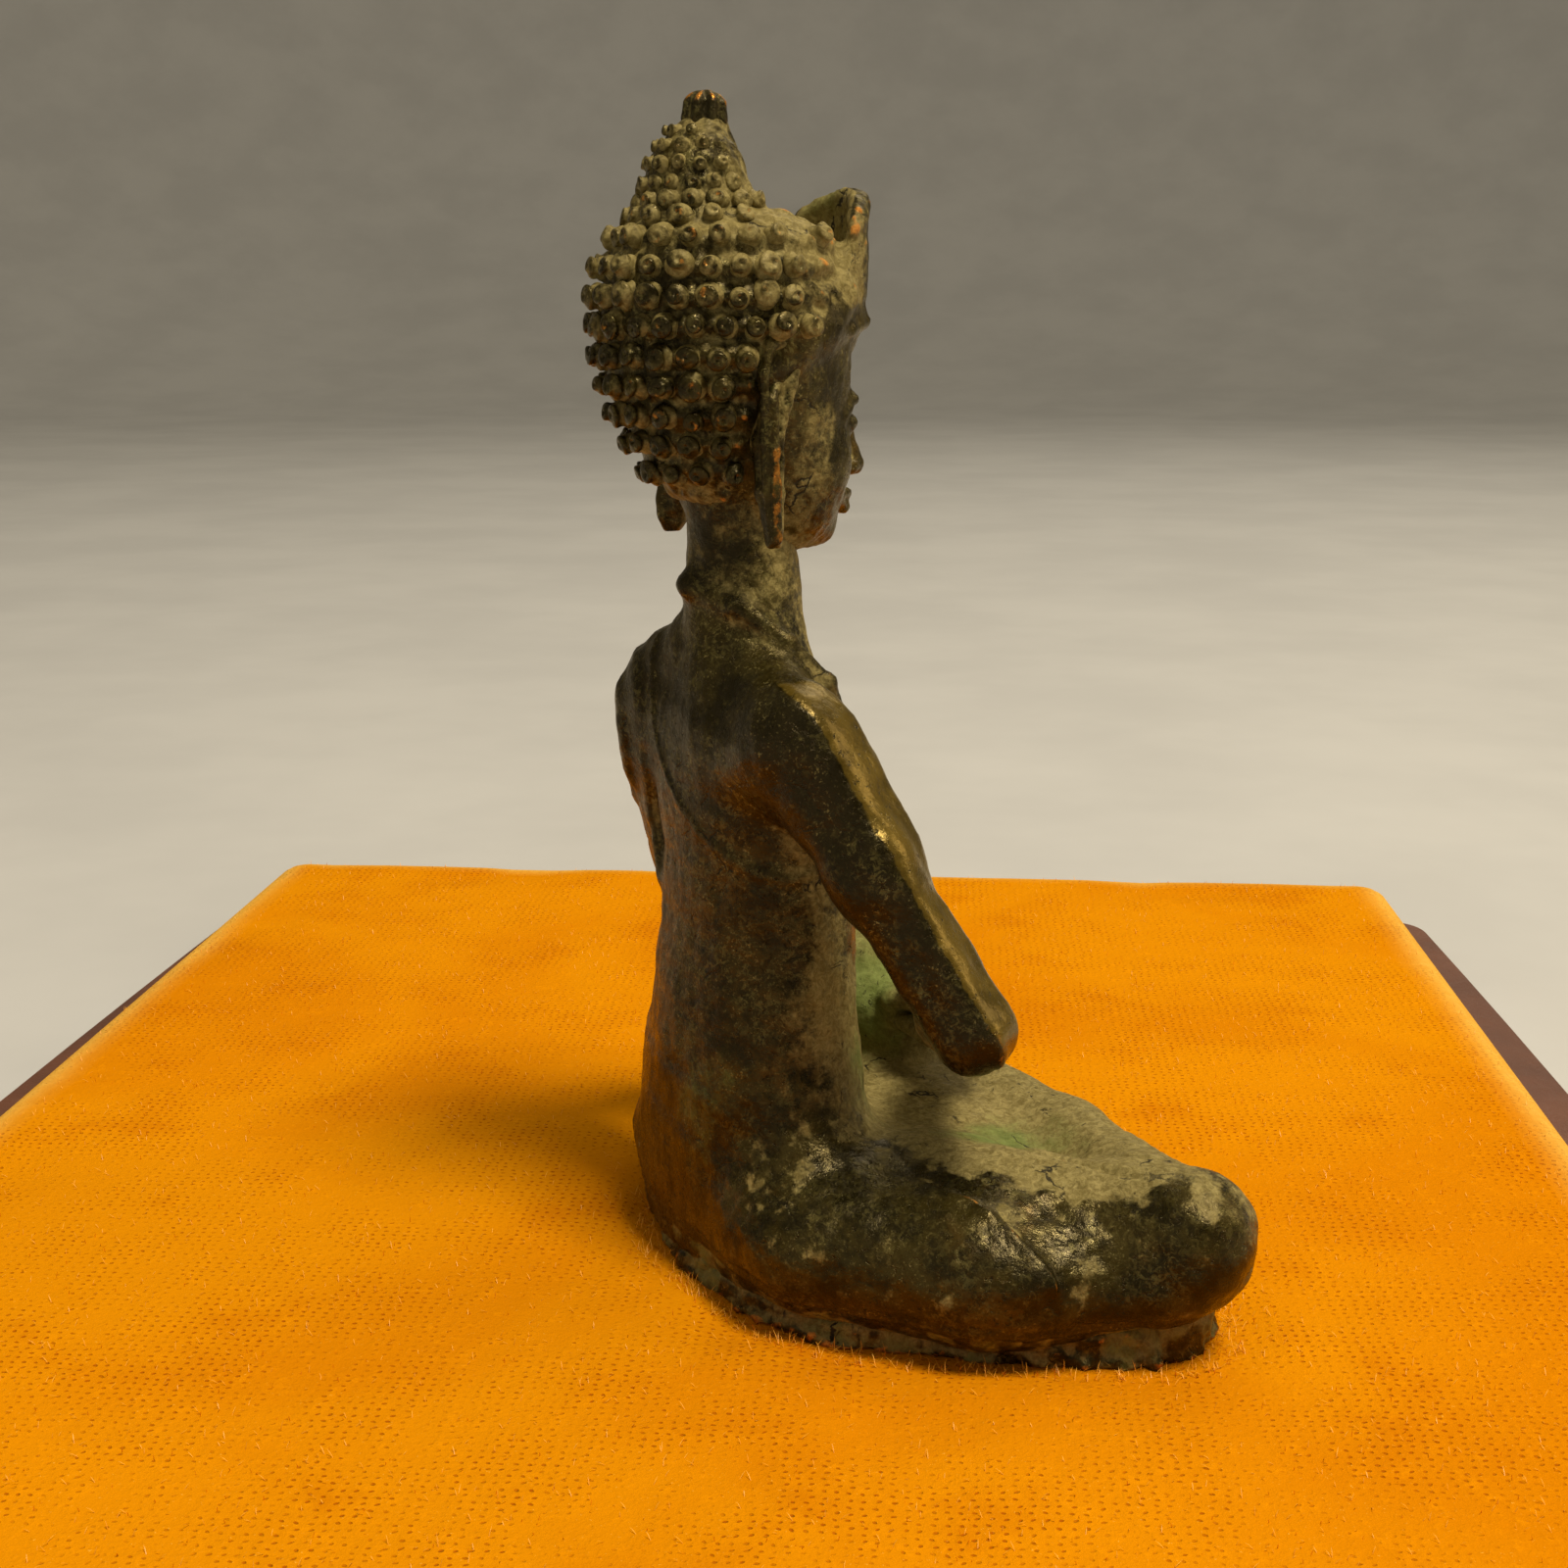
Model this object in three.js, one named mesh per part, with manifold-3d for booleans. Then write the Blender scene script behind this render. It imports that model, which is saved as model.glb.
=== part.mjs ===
// A small seated bronze figure resting on a velvet-covered display pad.
// Units are mm and +Z is up. The origin is the middle of the pad's underside.
import * as THREE from "three";
import { mergeVertices } from "three/addons/utils/BufferGeometryUtils.js";
import Module from "manifold-3d";

const wasm = await Module();
wasm.setup();

// Pad: a brown board, and on it a velvet cover over wadding and card.
const PAD_WIDTH = 124;
const PAD_DEPTH = 150;
const PAD_CORNER = 5;
const BOARD_THICKNESS = 3;
const BOARD_OVERHANG = 5.5;
const BOARD_BOW = 2.2;
const CARD_THICKNESS = 1.4;
const WADDING_THICKNESS = 3;
const VELVET_THICKNESS = 0.8;
const LAYER_GAP = 0.2;
const EDGE_ROUND = 1.4;
const PAD_TOP =
  BOARD_THICKNESS + CARD_THICKNESS + WADDING_THICKNESS + VELVET_THICKNESS + 3 * LAYER_GAP;

// Figure: its own frame is x forward, y to its left, z up from its underside.
const FIGURE_HEIGHT = 75;
const FIGURE_YAW = THREE.MathUtils.degToRad(32);
const FIGURE_PLACE = [0, -18];
const GAP = 0.3;
const PLINTH_THICKNESS = 2.2;
const PLINTH_OUTLINE = [
  [-5.5, 0],
  [-2.5, 13.2],
  [9.4, 24.5],
  [17.9, 26.6],
  [22.5, 18.8],
  [24.6, 0],
];
// Torso sections: height, centre forward, half depth, half width.
const TORSO_SECTIONS = [
  [2.5, 0.7, 6.0, 10.4],
  [7.5, 0.0, 6.6, 11.2],
  [12.0, 0.2, 6.4, 10.6],
  [16.5, 0.6, 6.0, 9.4],
  [22.5, 1.2, 5.8, 8.4],
  [28.5, 0.9, 5.5, 8.4],
  [34.5, 0.3, 5.3, 9.0],
  [38.2, -0.2, 4.4, 8.4],
  [41.0, -0.4, 3.4, 5.2],
  [42.6, -0.4, 2.6, 3.0],
];
const SHOULDER = { at: [-1.3, 9.6, 37.6], r: 2.8 };
const ELBOW = { at: [4.9, 18.4, 21.4], r: 2.6 };
const WRIST = { at: [12.2, 6.6, 15.6], r: 1.6 };
const HIP = { at: [0, 7.5, 7.7], r: 5.2 };
const KNEE = { at: [16.0, 25.6, 6.6], r: 3.8 };
const ANKLE = { at: [20.2, 0, 6.4], r: 3.4 };
const NECK_RADIUS = 3.1;
const NECK_LEVELS = [42.9, 45.2, 51.5];
const SKULL = { at: [-0.9, 0, 58.9], r: [7.4, 6.5, 8.5] };
const FACE = { at: [2.2, 0, 54.2], r: [4.7, 5.1, 7.2] };
const USHNISHA = { at: [-2.4, 0, 67.6], r: [3.2, 3.2, 5.0] };
const FINIAL_RADIUS = 1.25;
const FINIAL_LEVELS = [72.0, FIGURE_HEIGHT];
const HAIR_ROWS = 9;
const HAIR_PITCH = 1.72;
const HAIR_BOTTOM = 52.0;
const CURL_RADIUS = 0.66;
const CURL_HEIGHT = 1.5;
const CURL_SPACING = 1.85;
const EAR_LEVEL = 60;
const HAIRLINE_BEHIND_EAR = -2.6;
const HAIRLINE_AT_TEMPLE = 3.2;
const CROWN_ROWS = 4;
const CROWN_PITCH = 1.02;
const CROWN_BOTTOM = 68.0;
const SMALL_CURL_RADIUS = 0.38;
const SMALL_CURL_HEIGHT = 0.95;
const SMALL_CURL_SPACING = 1.15;
const FRONTLET = { centre: 4.4, radius: 4.9, wall: 0.9, bottom: 61.0, shoulder: 64.2, top: 69.2 };

// ---- Solids ------------------------------------------------------------

function solid(geometry) {
  const bare = geometry.clone();
  bare.deleteAttribute("normal");
  bare.deleteAttribute("uv");
  const merged = mergeVertices(bare, 1e-4);
  return new wasm.Manifold(
    new wasm.Mesh({
      numProp: 3,
      vertProperties: new Float32Array(merged.attributes.position.array),
      triVerts: new Uint32Array(merged.index.array),
    }),
  );
}

function largest(body) {
  return body.decompose().sort((a, b) => b.volume() - a.volume())[0];
}

function mesh(name, body, material) {
  const made = body.getMesh();
  const positions = new Float32Array(made.numVert * 3);
  for (let i = 0; i < made.numVert; i++) {
    positions.set(made.vertProperties.subarray(i * made.numProp, i * made.numProp + 3), i * 3);
  }
  const geometry = new THREE.BufferGeometry();
  geometry.setAttribute("position", new THREE.BufferAttribute(positions, 3));
  geometry.setIndex(new THREE.BufferAttribute(new Uint32Array(made.triVerts), 1));
  const flat = geometry.toNonIndexed();
  flat.computeVertexNormals();
  const result = new THREE.Mesh(flat, new THREE.MeshStandardMaterial(material));
  result.name = name;
  return result;
}

function box(low, high) {
  const size = high.map((value, i) => value - low[i]);
  const geometry = new THREE.BoxGeometry(...size);
  geometry.translate(...low.map((value, i) => value + size[i] / 2));
  return solid(geometry);
}

function ellipsoid({ at, r }, grow = 0, around = 20, high = 12) {
  const geometry = new THREE.SphereGeometry(1, around, high);
  geometry.rotateX(Math.PI / 2);
  geometry.scale(r[0] + grow, r[1] + grow, r[2] + grow);
  geometry.translate(...at);
  return solid(geometry);
}

function sphericalRadii({ at, r }) {
  return { at, r: [r, r, r] };
}

function mirrored(point, side) {
  return [point[0], point[1] * side, point[2]];
}

// A limb from a to b: a tapered round bar with domed ends.
function limb(a, b, side, grow = 0, around = 12) {
  const start = new THREE.Vector3(...mirrored(a.at, side));
  const end = new THREE.Vector3(...mirrored(b.at, side));
  const length = start.distanceTo(end);
  const profile = [];
  const steps = 4;
  for (let i = 0; i <= steps; i++) {
    const angle = -Math.PI / 2 + (i / steps) * (Math.PI / 2);
    const radius = a.r + grow;
    profile.push(new THREE.Vector2(Math.cos(angle) * radius, Math.sin(angle) * radius));
  }
  for (let i = 0; i <= steps; i++) {
    const angle = (i / steps) * (Math.PI / 2);
    const radius = b.r + grow;
    profile.push(new THREE.Vector2(Math.cos(angle) * radius, length + Math.sin(angle) * radius));
  }
  profile[0].x = 0;
  profile[profile.length - 1].x = 0;
  const geometry = new THREE.LatheGeometry(profile, around);
  const turn = new THREE.Quaternion();
  turn.setFromUnitVectors(new THREE.Vector3(0, 1, 0), end.clone().sub(start).normalize());
  geometry.applyQuaternion(turn);
  geometry.translate(start.x, start.y, start.z);
  return solid(geometry);
}

function lathed(points, around) {
  const geometry = new THREE.LatheGeometry(
    points.map(([radius, level]) => new THREE.Vector2(radius, level)),
    around,
  );
  geometry.rotateX(Math.PI / 2);
  return geometry;
}

// ---- Pad ---------------------------------------------------------------

function roundedRectangle(width, depth, corner) {
  const x = width / 2;
  const y = depth / 2;
  const shape = new THREE.Shape();
  shape.moveTo(-x + corner, -y);
  shape.lineTo(x - corner, -y);
  shape.absarc(x - corner, -y + corner, corner, -Math.PI / 2, 0);
  shape.lineTo(x, y - corner);
  shape.absarc(x - corner, y - corner, corner, 0, Math.PI / 2);
  shape.lineTo(-x + corner, y);
  shape.absarc(-x + corner, y - corner, corner, Math.PI / 2, Math.PI);
  shape.lineTo(-x, -y + corner);
  shape.absarc(-x + corner, -y + corner, corner, Math.PI, 1.5 * Math.PI);
  return shape;
}

// A slab whose upper edge is rounded over and whose underside is flat.
function cushion(width, depth, corner, bottom, top, round) {
  const geometry = new THREE.ExtrudeGeometry(
    roundedRectangle(width - 2 * round, depth - 2 * round, Math.max(corner - round, 0.5)),
    {
      depth: top - bottom,
      bevelEnabled: true,
      bevelThickness: round,
      bevelSize: round,
      bevelSegments: 3,
      curveSegments: 6,
    },
  );
  geometry.translate(0, 0, bottom - round);
  const floor = box([-width, -depth, bottom - 10], [width, depth, bottom]);
  return solid(geometry).subtract(floor);
}

function board() {
  const far = PAD_WIDTH / 2 + BOARD_OVERHANG;
  const y = PAD_DEPTH / 2 + BOARD_OVERHANG;
  const near = far + BOARD_BOW;
  const corner = PAD_CORNER;
  const shape = new THREE.Shape();
  shape.moveTo(-near + corner, -y);
  shape.lineTo(near - corner, -y);
  shape.quadraticCurveTo(near, -y, near, -y + corner);
  shape.quadraticCurveTo(near + BOARD_BOW / 2, 0, far, y - corner);
  shape.quadraticCurveTo(far, y, far - corner, y);
  shape.lineTo(-far + corner, y);
  shape.quadraticCurveTo(-far, y, -far, y - corner);
  shape.quadraticCurveTo(-near - BOARD_BOW / 2, 0, -near, -y + corner);
  shape.quadraticCurveTo(-near, -y, -near + corner, -y);
  return solid(
    new THREE.ExtrudeGeometry(shape, {
      depth: BOARD_THICKNESS,
      bevelEnabled: false,
      curveSegments: 10,
    }),
  );
}

const cardBottom = BOARD_THICKNESS + LAYER_GAP;
const waddingBottom = cardBottom + CARD_THICKNESS + LAYER_GAP;
const hollow = VELVET_THICKNESS + LAYER_GAP;
const hollowTop = PAD_TOP - VELVET_THICKNESS;

function card() {
  const width = PAD_WIDTH - 2 * hollow - 1;
  const depth = PAD_DEPTH - 2 * hollow - 1;
  return solid(
    new THREE.ExtrudeGeometry(roundedRectangle(width, depth, PAD_CORNER - 1), {
      depth: CARD_THICKNESS,
      bevelEnabled: false,
      curveSegments: 4,
    }).translate(0, 0, cardBottom),
  );
}

function wadding() {
  const width = PAD_WIDTH - 2 * hollow - 1;
  const depth = PAD_DEPTH - 2 * hollow - 1;
  return cushion(
    width, depth, PAD_CORNER - 1, waddingBottom, hollowTop - LAYER_GAP, EDGE_ROUND - 0.3,
  );
}

function velvetCover() {
  const outer = cushion(PAD_WIDTH, PAD_DEPTH, PAD_CORNER, cardBottom, PAD_TOP, EDGE_ROUND);
  const inner = cushion(
    PAD_WIDTH - 2 * VELVET_THICKNESS,
    PAD_DEPTH - 2 * VELVET_THICKNESS,
    PAD_CORNER - VELVET_THICKNESS,
    BOARD_THICKNESS - 1,
    hollowTop,
    EDGE_ROUND - 0.3,
  );
  return outer.subtract(inner);
}

// ---- Figure: base, legs and lap -----------------------------------------

function plinth() {
  const right = PLINTH_OUTLINE.map(([x, y]) => new THREE.Vector2(x, -y));
  const left = PLINTH_OUTLINE.slice(1, -1)
    .reverse()
    .map(([x, y]) => new THREE.Vector2(x, y));
  const outline = new THREE.CatmullRomCurve3(
    [...right, ...left].map((p) => new THREE.Vector3(p.x, p.y, 0)),
    true,
    "centripetal",
  );
  const shape = new THREE.Shape(
    outline.getPoints(44).slice(0, -1).map((p) => new THREE.Vector2(p.x, p.y)),
  );
  return solid(
    new THREE.ExtrudeGeometry(shape, {
      depth: PLINTH_THICKNESS - 0.6,
      bevelThickness: 0.3,
      bevelSize: 0.3,
      bevelOffset: -0.3,
      bevelSegments: 1,
    }).translate(0, 0, 0.3),
  );
}

const ground = box([-60, -60, -10], [60, 60, PLINTH_THICKNESS + GAP]);

function torso(grow = 0) {
  const first = TORSO_SECTIONS[0];
  const last = TORSO_SECTIONS[TORSO_SECTIONS.length - 1];
  const profile = [
    [0, first[0] - grow],
    ...TORSO_SECTIONS.map(([level, , , width]) => [width + grow, level]),
    [0, last[0] + grow],
  ];
  profile[1][1] -= grow;
  profile[profile.length - 2][1] += grow;
  const geometry = lathed(profile, 24);
  const position = geometry.attributes.position;
  for (let i = 0; i < position.count; i++) {
    const level = THREE.MathUtils.clamp(position.getZ(i), first[0], last[0]);
    const above = Math.max(1, TORSO_SECTIONS.findIndex((row) => row[0] >= level));
    const lower = TORSO_SECTIONS[above - 1];
    const upper = TORSO_SECTIONS[above];
    const t = (level - lower[0]) / (upper[0] - lower[0]);
    const at = (column) => lower[column] + (upper[column] - lower[column]) * t;
    position.setX(i, at(1) + (position.getX(i) * (at(2) + grow)) / (at(3) + grow));
  }
  return solid(geometry);
}

function leg(side, grow = 0) {
  return limb(HIP, KNEE, side, grow).add(limb(KNEE, ANKLE, side, grow));
}

function upperArm(side, grow = 0) {
  return limb(SHOULDER, ELBOW, side, grow);
}

function forearm(side, grow = 0) {
  return limb(ELBOW, WRIST, side, grow, 10);
}

function hand(side, grow = 0) {
  const level = side > 0 ? 12.3 : 14.4;
  const palm = { at: [14.6, 2.2 * side, level], r: [2.4, 4.4, 0.85] };
  return ellipsoid(palm, grow, 12, 8);
}

function foot(grow = 0) {
  return limb({ at: [18.0, -1.5, 10.6], r: 1.5 }, { at: [15.5, 11.5, 12.1], r: 1.2 }, 1, grow, 10);
}

const middle = (side) => box([-60, side > 0 ? -60 : -GAP / 2, -60], [60, side > 0 ? GAP / 2 : 60, 60]);

function rightLeg() {
  return largest(leg(-1).subtract(torso(GAP)).subtract(ground).subtract(middle(-1)));
}

function leftLeg() {
  return largest(
    leg(1).subtract(torso(GAP)).subtract(ground).subtract(middle(1)).subtract(foot(GAP)),
  );
}

function lap() {
  const cloth = ellipsoid({ at: [10.5, 0, 5.4], r: [10, 16, 5.2] }, 0, 24, 12);
  return largest(
    cloth
      .subtract(leg(-1, GAP))
      .subtract(leg(1, GAP))
      .subtract(torso(GAP))
      .subtract(foot(GAP))
      .subtract(ground),
  );
}

// The robe is a thin layer over the left shoulder, the back and the left side.
function robe() {
  const layer = torso(0.8).subtract(torso(GAP));
  const edge = new THREE.BoxGeometry(60, 60, 60);
  edge.translate(0, 0, 30);
  edge.rotateX(THREE.MathUtils.degToRad(42));
  edge.translate(0, -8.6, 29);
  const levels = box([-30, -30, 12.5], [30, 30, 39.5]);
  const armhole = (side) => upperArm(side, GAP + 0.1);
  return largest(
    layer
      .subtract(solid(edge))
      .intersect(levels)
      .subtract(armhole(-1))
      .subtract(armhole(1))
      .subtract(leg(-1, GAP))
      .subtract(leg(1, GAP))
      .subtract(ellipsoid({ at: [10.5, 0, 5.4], r: [10, 16, 5.2] }, GAP, 24, 12)),
  );
}

// ---- Figure: head --------------------------------------------------------

function neck() {
  const [bottom, ridge, top] = NECK_LEVELS;
  const post = lathed(
    [
      [0, bottom],
      [NECK_RADIUS + 0.5, bottom],
      [NECK_RADIUS + 0.6, ridge - 0.7],
      [NECK_RADIUS + 1.0, ridge],
      [NECK_RADIUS, ridge + 0.8],
      [NECK_RADIUS, top],
      [0, top],
    ],
    16,
  );
  post.translate(-0.3, 0, 0);
  return largest(
    solid(post).subtract(ellipsoid(SKULL, GAP)).subtract(ellipsoid(FACE, GAP)),
  );
}

function head() {
  return ellipsoid(SKULL).add(ellipsoid(FACE));
}

function ear(side) {
  const shape = new THREE.Shape();
  shape.moveTo(-1.5, 58.6);
  shape.quadraticCurveTo(-1.2, 60.2, 0.2, 60.0);
  shape.quadraticCurveTo(1.3, 59.6, 1.0, 57.6);
  shape.quadraticCurveTo(0.2, 55.0, 0.1, 53.0);
  shape.quadraticCurveTo(0.4, 49.6, -0.6, 48.6);
  shape.quadraticCurveTo(-1.9, 48.6, -1.8, 50.2);
  shape.quadraticCurveTo(-1.3, 53.4, -1.4, 55.4);
  const geometry = new THREE.ExtrudeGeometry(shape, {
    depth: 1,
    bevelEnabled: false,
    curveSegments: 4,
  });
  geometry.rotateX(Math.PI / 2);
  geometry.translate(0, 0.5, 0);
  geometry.translate(-0.2, 7.4 * side, 0);
  return solid(geometry);
}

function frontlet() {
  const { centre, radius, wall, bottom, shoulder, top } = FRONTLET;
  const ring = lathed(
    [
      [radius - wall, bottom],
      [radius, bottom],
      [radius, top + 1],
      [radius - wall, top + 1],
      [radius - wall, bottom],
    ],
    28,
  );
  ring.translate(centre, 0, 0);
  const arch = new THREE.Shape();
  const half = radius + 0.4;
  arch.moveTo(-half, bottom - 1);
  arch.lineTo(half, bottom - 1);
  arch.lineTo(half, shoulder);
  arch.bezierCurveTo(half * 0.8, top - 1, half * 0.45, top, 0, top);
  arch.bezierCurveTo(-half * 0.45, top, -half * 0.8, top - 1, -half, shoulder);
  const plate = new THREE.ExtrudeGeometry(arch, {
    depth: 8,
    bevelEnabled: false,
    curveSegments: 8,
  });
  plate.rotateX(Math.PI / 2);
  plate.rotateZ(Math.PI / 2);
  plate.translate(centre - 0.2, 0, 0);
  return largest(
    solid(ring)
      .intersect(solid(plate))
      .subtract(ellipsoid(SKULL, GAP))
      .subtract(ellipsoid(FACE, GAP)),
  );
}

// One tier of curls: a thin band on the dome with a knob for each curl.
function curlRow({ dome, level, pitch, spacing, radius, height, front, cover }) {
  const shell = ellipsoid(dome, 0.8).subtract(ellipsoid(dome, GAP));
  const slab = box([-30, -30, level - pitch / 2 + 0.12], [front, 30, level + pitch / 2 - 0.12]);
  let row = shell.intersect(slab);
  const up = (level - dome.at[2]) / dome.r[2];
  const flat = Math.sqrt(Math.max(0, 1 - up * up));
  const ring = [dome.r[0] * flat, dome.r[1] * flat];
  const around = Math.PI * (ring[0] + ring[1]);
  const count = Math.max(4, Math.floor(around / spacing));
  for (let i = 0; i < count; i++) {
    const angle = Math.PI + ((i + 0.5) / count - 0.5) * 2 * Math.PI * 0.999;
    const x = dome.at[0] + ring[0] * Math.cos(angle);
    const y = ring[1] * Math.sin(angle);
    if (x > front - cover) continue;
    const normal = new THREE.Vector3(
      Math.cos(angle) / dome.r[0],
      Math.sin(angle) / dome.r[1],
      (0.55 * up) / dome.r[2],
    ).normalize();
    const knob = new THREE.CylinderGeometry(radius * 0.6, radius, height, 5);
    knob.translate(0, height / 2 + 0.45, 0);
    const turn = new THREE.Quaternion();
    turn.setFromUnitVectors(new THREE.Vector3(0, 1, 0), normal);
    knob.applyQuaternion(turn);
    knob.translate(x, y, level);
    row = row.add(solid(knob));
  }
  return largest(row);
}

const earRoom = box([-2.3, -12, 48], [1.5, -6.5, 60.7]).add(box([-2.3, 6.5, 48], [1.5, 12, 60.7]));

function hairRow(index) {
  const level = HAIR_BOTTOM + index * HAIR_PITCH;
  const front = level < EAR_LEVEL ? HAIRLINE_BEHIND_EAR : HAIRLINE_AT_TEMPLE;
  return largest(
    curlRow({
      dome: SKULL,
      level,
      pitch: HAIR_PITCH,
      spacing: CURL_SPACING,
      radius: CURL_RADIUS,
      height: CURL_HEIGHT,
      front,
      cover: 0.6,
    })
      .subtract(ellipsoid(USHNISHA, GAP))
      .subtract(ellipsoid(FACE, GAP))
      .subtract(earRoom)
      .subtract(box([-6, -NECK_RADIUS - GAP, 40], [6, NECK_RADIUS + GAP, NECK_LEVELS[2] + GAP])),
  );
}

function ushnisha() {
  return largest(ellipsoid(USHNISHA, 0, 18, 12).subtract(ellipsoid(SKULL, GAP)));
}

function crownRow(index) {
  return curlRow({
    dome: USHNISHA,
    level: CROWN_BOTTOM + index * CROWN_PITCH,
    pitch: CROWN_PITCH,
    spacing: SMALL_CURL_SPACING,
    radius: SMALL_CURL_RADIUS,
    height: SMALL_CURL_HEIGHT,
    front: USHNISHA.at[0] + 2.2,
    cover: 0.4,
  });
}

function finial() {
  const [bottom, top] = FINIAL_LEVELS;
  const bud = lathed(
    [
      [0, bottom],
      [FINIAL_RADIUS * 1.1, bottom],
      [FINIAL_RADIUS, bottom + 0.9],
      [FINIAL_RADIUS * 1.08, top - 0.7],
      [FINIAL_RADIUS * 0.7, top],
      [0, top],
    ],
    12,
  );
  bud.translate(USHNISHA.at[0], 0, 0);
  return solid(bud).subtract(ellipsoid(USHNISHA, GAP, 18, 12));
}

// ---- Assembly ------------------------------------------------------------

const bronze = { color: 0x4f4426, roughness: 0.55, metalness: 0.8 };
const verdigris = { color: 0x5f6a3c, roughness: 0.7, metalness: 0.6 };
const velvet = { color: 0xf59610, roughness: 0.95, metalness: 0 };
const brown = { color: 0x6c3c28, roughness: 0.6, metalness: 0 };
const cardboard = { color: 0xb59a72, roughness: 0.9, metalness: 0 };
const foam = { color: 0xe8e2d2, roughness: 1, metalness: 0 };

const object = new THREE.Group();
object.name = "figure_on_velvet_pad";

const pad = new THREE.Group();
pad.add(mesh("base_board", board(), brown));
pad.add(mesh("card", card(), cardboard));
pad.add(mesh("wadding", wadding(), foam));
pad.add(mesh("velvet_cover", velvetCover(), velvet));
object.add(pad);

const figure = new THREE.Group();
figure.add(mesh("plinth", plinth(), verdigris));
figure.add(mesh("torso", torso(), bronze));
figure.add(mesh("right_leg", rightLeg(), bronze));
figure.add(mesh("left_leg", leftLeg(), verdigris));
figure.add(mesh("lap", lap(), verdigris));
figure.add(mesh("robe", robe(), bronze));
figure.add(mesh("neck", neck(), bronze));
figure.add(mesh("head", head(), bronze));
figure.add(mesh("frontlet", frontlet(), bronze));
figure.add(mesh("ushnisha", ushnisha(), bronze));
figure.add(mesh("finial", finial(), bronze));
for (const [name, side] of [["right", -1], ["left", 1]]) {
  const arm = upperArm(side).subtract(torso(GAP));
  const fore = forearm(side)
    .subtract(upperArm(side, GAP))
    .subtract(hand(side, GAP))
    .subtract(leg(side, GAP));
  figure.add(mesh(name + "_upper_arm", largest(arm), bronze));
  figure.add(mesh(name + "_forearm", largest(fore), bronze));
  figure.add(mesh(name + "_ear", ear(side), bronze));
}
figure.add(mesh("right_hand", hand(-1).subtract(hand(1, GAP)), bronze));
figure.add(mesh("left_hand", largest(hand(1).subtract(foot(GAP))), bronze));
figure.add(mesh("right_foot", foot().subtract(leg(-1, GAP)), bronze));
for (let i = 0; i < HAIR_ROWS; i++) figure.add(mesh("hair_row_" + (i + 1), hairRow(i), bronze));
for (let i = 0; i < CROWN_ROWS; i++) figure.add(mesh("ushnisha_row_" + (i + 1), crownRow(i), bronze));
figure.rotation.z = FIGURE_YAW;
figure.position.set(FIGURE_PLACE[0], FIGURE_PLACE[1], PAD_TOP + LAYER_GAP);
object.add(figure);

export default object;
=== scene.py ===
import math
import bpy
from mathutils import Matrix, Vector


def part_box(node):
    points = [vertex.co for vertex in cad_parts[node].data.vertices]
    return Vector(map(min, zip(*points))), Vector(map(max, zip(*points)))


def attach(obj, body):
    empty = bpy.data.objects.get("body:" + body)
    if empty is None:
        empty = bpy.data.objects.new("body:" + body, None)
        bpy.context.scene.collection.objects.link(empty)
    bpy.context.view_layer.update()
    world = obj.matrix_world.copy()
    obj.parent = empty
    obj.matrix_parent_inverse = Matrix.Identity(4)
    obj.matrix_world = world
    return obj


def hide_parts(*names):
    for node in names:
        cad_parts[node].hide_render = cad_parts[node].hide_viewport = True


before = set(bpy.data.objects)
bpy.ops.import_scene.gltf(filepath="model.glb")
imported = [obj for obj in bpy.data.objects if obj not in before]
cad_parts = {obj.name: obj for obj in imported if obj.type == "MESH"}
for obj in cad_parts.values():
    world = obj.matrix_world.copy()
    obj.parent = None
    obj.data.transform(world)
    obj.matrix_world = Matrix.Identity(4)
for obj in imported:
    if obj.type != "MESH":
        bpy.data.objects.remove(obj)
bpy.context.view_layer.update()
# A small seated bronze figure on an orange velvet display pad.
# The bronze is sculpted as distance fields in millimetres, in the figure's own frame:
# x forward, y to its left, z up from its underside. Each piece is then placed by the CAD's boxes.
from concurrent.futures import ThreadPoolExecutor

import bpy
import numpy as np
import openvdb
from mathutils import Vector

MM = 0.001
F32 = np.float32

# ---- Where the frame puts things ----


def box_mm(node):
    low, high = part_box(node)
    return np.array(low) / MM, np.array(high) / MM


FIGURE_YAW = math.radians(32)
CROWN_AXIS = -2.4  # the finial's place along the figure's forward axis
finial_low, finial_high = box_mm("finial")
BASE_LEVEL = box_mm("plinth")[0][2]
FORWARD = np.array([math.cos(FIGURE_YAW), math.sin(FIGURE_YAW)])
LEFTWARD = np.array([-math.sin(FIGURE_YAW), math.cos(FIGURE_YAW)])
FIGURE_AXIS = (finial_low + finial_high)[:2] / 2 - CROWN_AXIS * FORWARD
PAD_TOP = box_mm("velvet_cover")[1][2]
FIGURE_HEIGHT = finial_high[2] - BASE_LEVEL


def to_row(points):
    """Points of the figure's own frame, in mm, as metres in the row frame."""
    points = np.asarray(points, float)
    out = np.empty_like(points)
    out[:, :2] = FIGURE_AXIS + points[:, :1] * FORWARD + points[:, 1:2] * LEFTWARD
    out[:, 2] = points[:, 2] + BASE_LEVEL
    return out * MM


# ---- Distance fields ----


def unit(value):
    return np.clip(value, 0, 1)


def step(value, low, high):
    """Rises smoothly from 0 at low to 1 at high."""
    t = unit((value - low) / (high - low))
    return t * t * (3 - 2 * t)


def window(value, low, full, fading, high):
    """Rises from 0 to 1 between low and full, and falls back between fading and high."""
    return step(value, low, full) * (1 - step(value, fading, high))


def bell(value, width):
    """1 where value is 0, fading on both sides over about that width."""
    return np.exp(-((value / width) ** 2))


def blob(points, at, radius):
    """1 at a place and fading to 0 about radius mm away."""
    q = (points - np.array(at, points.dtype)) / np.array(radius, points.dtype)
    return np.exp(-(q * q).sum(1))


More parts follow.
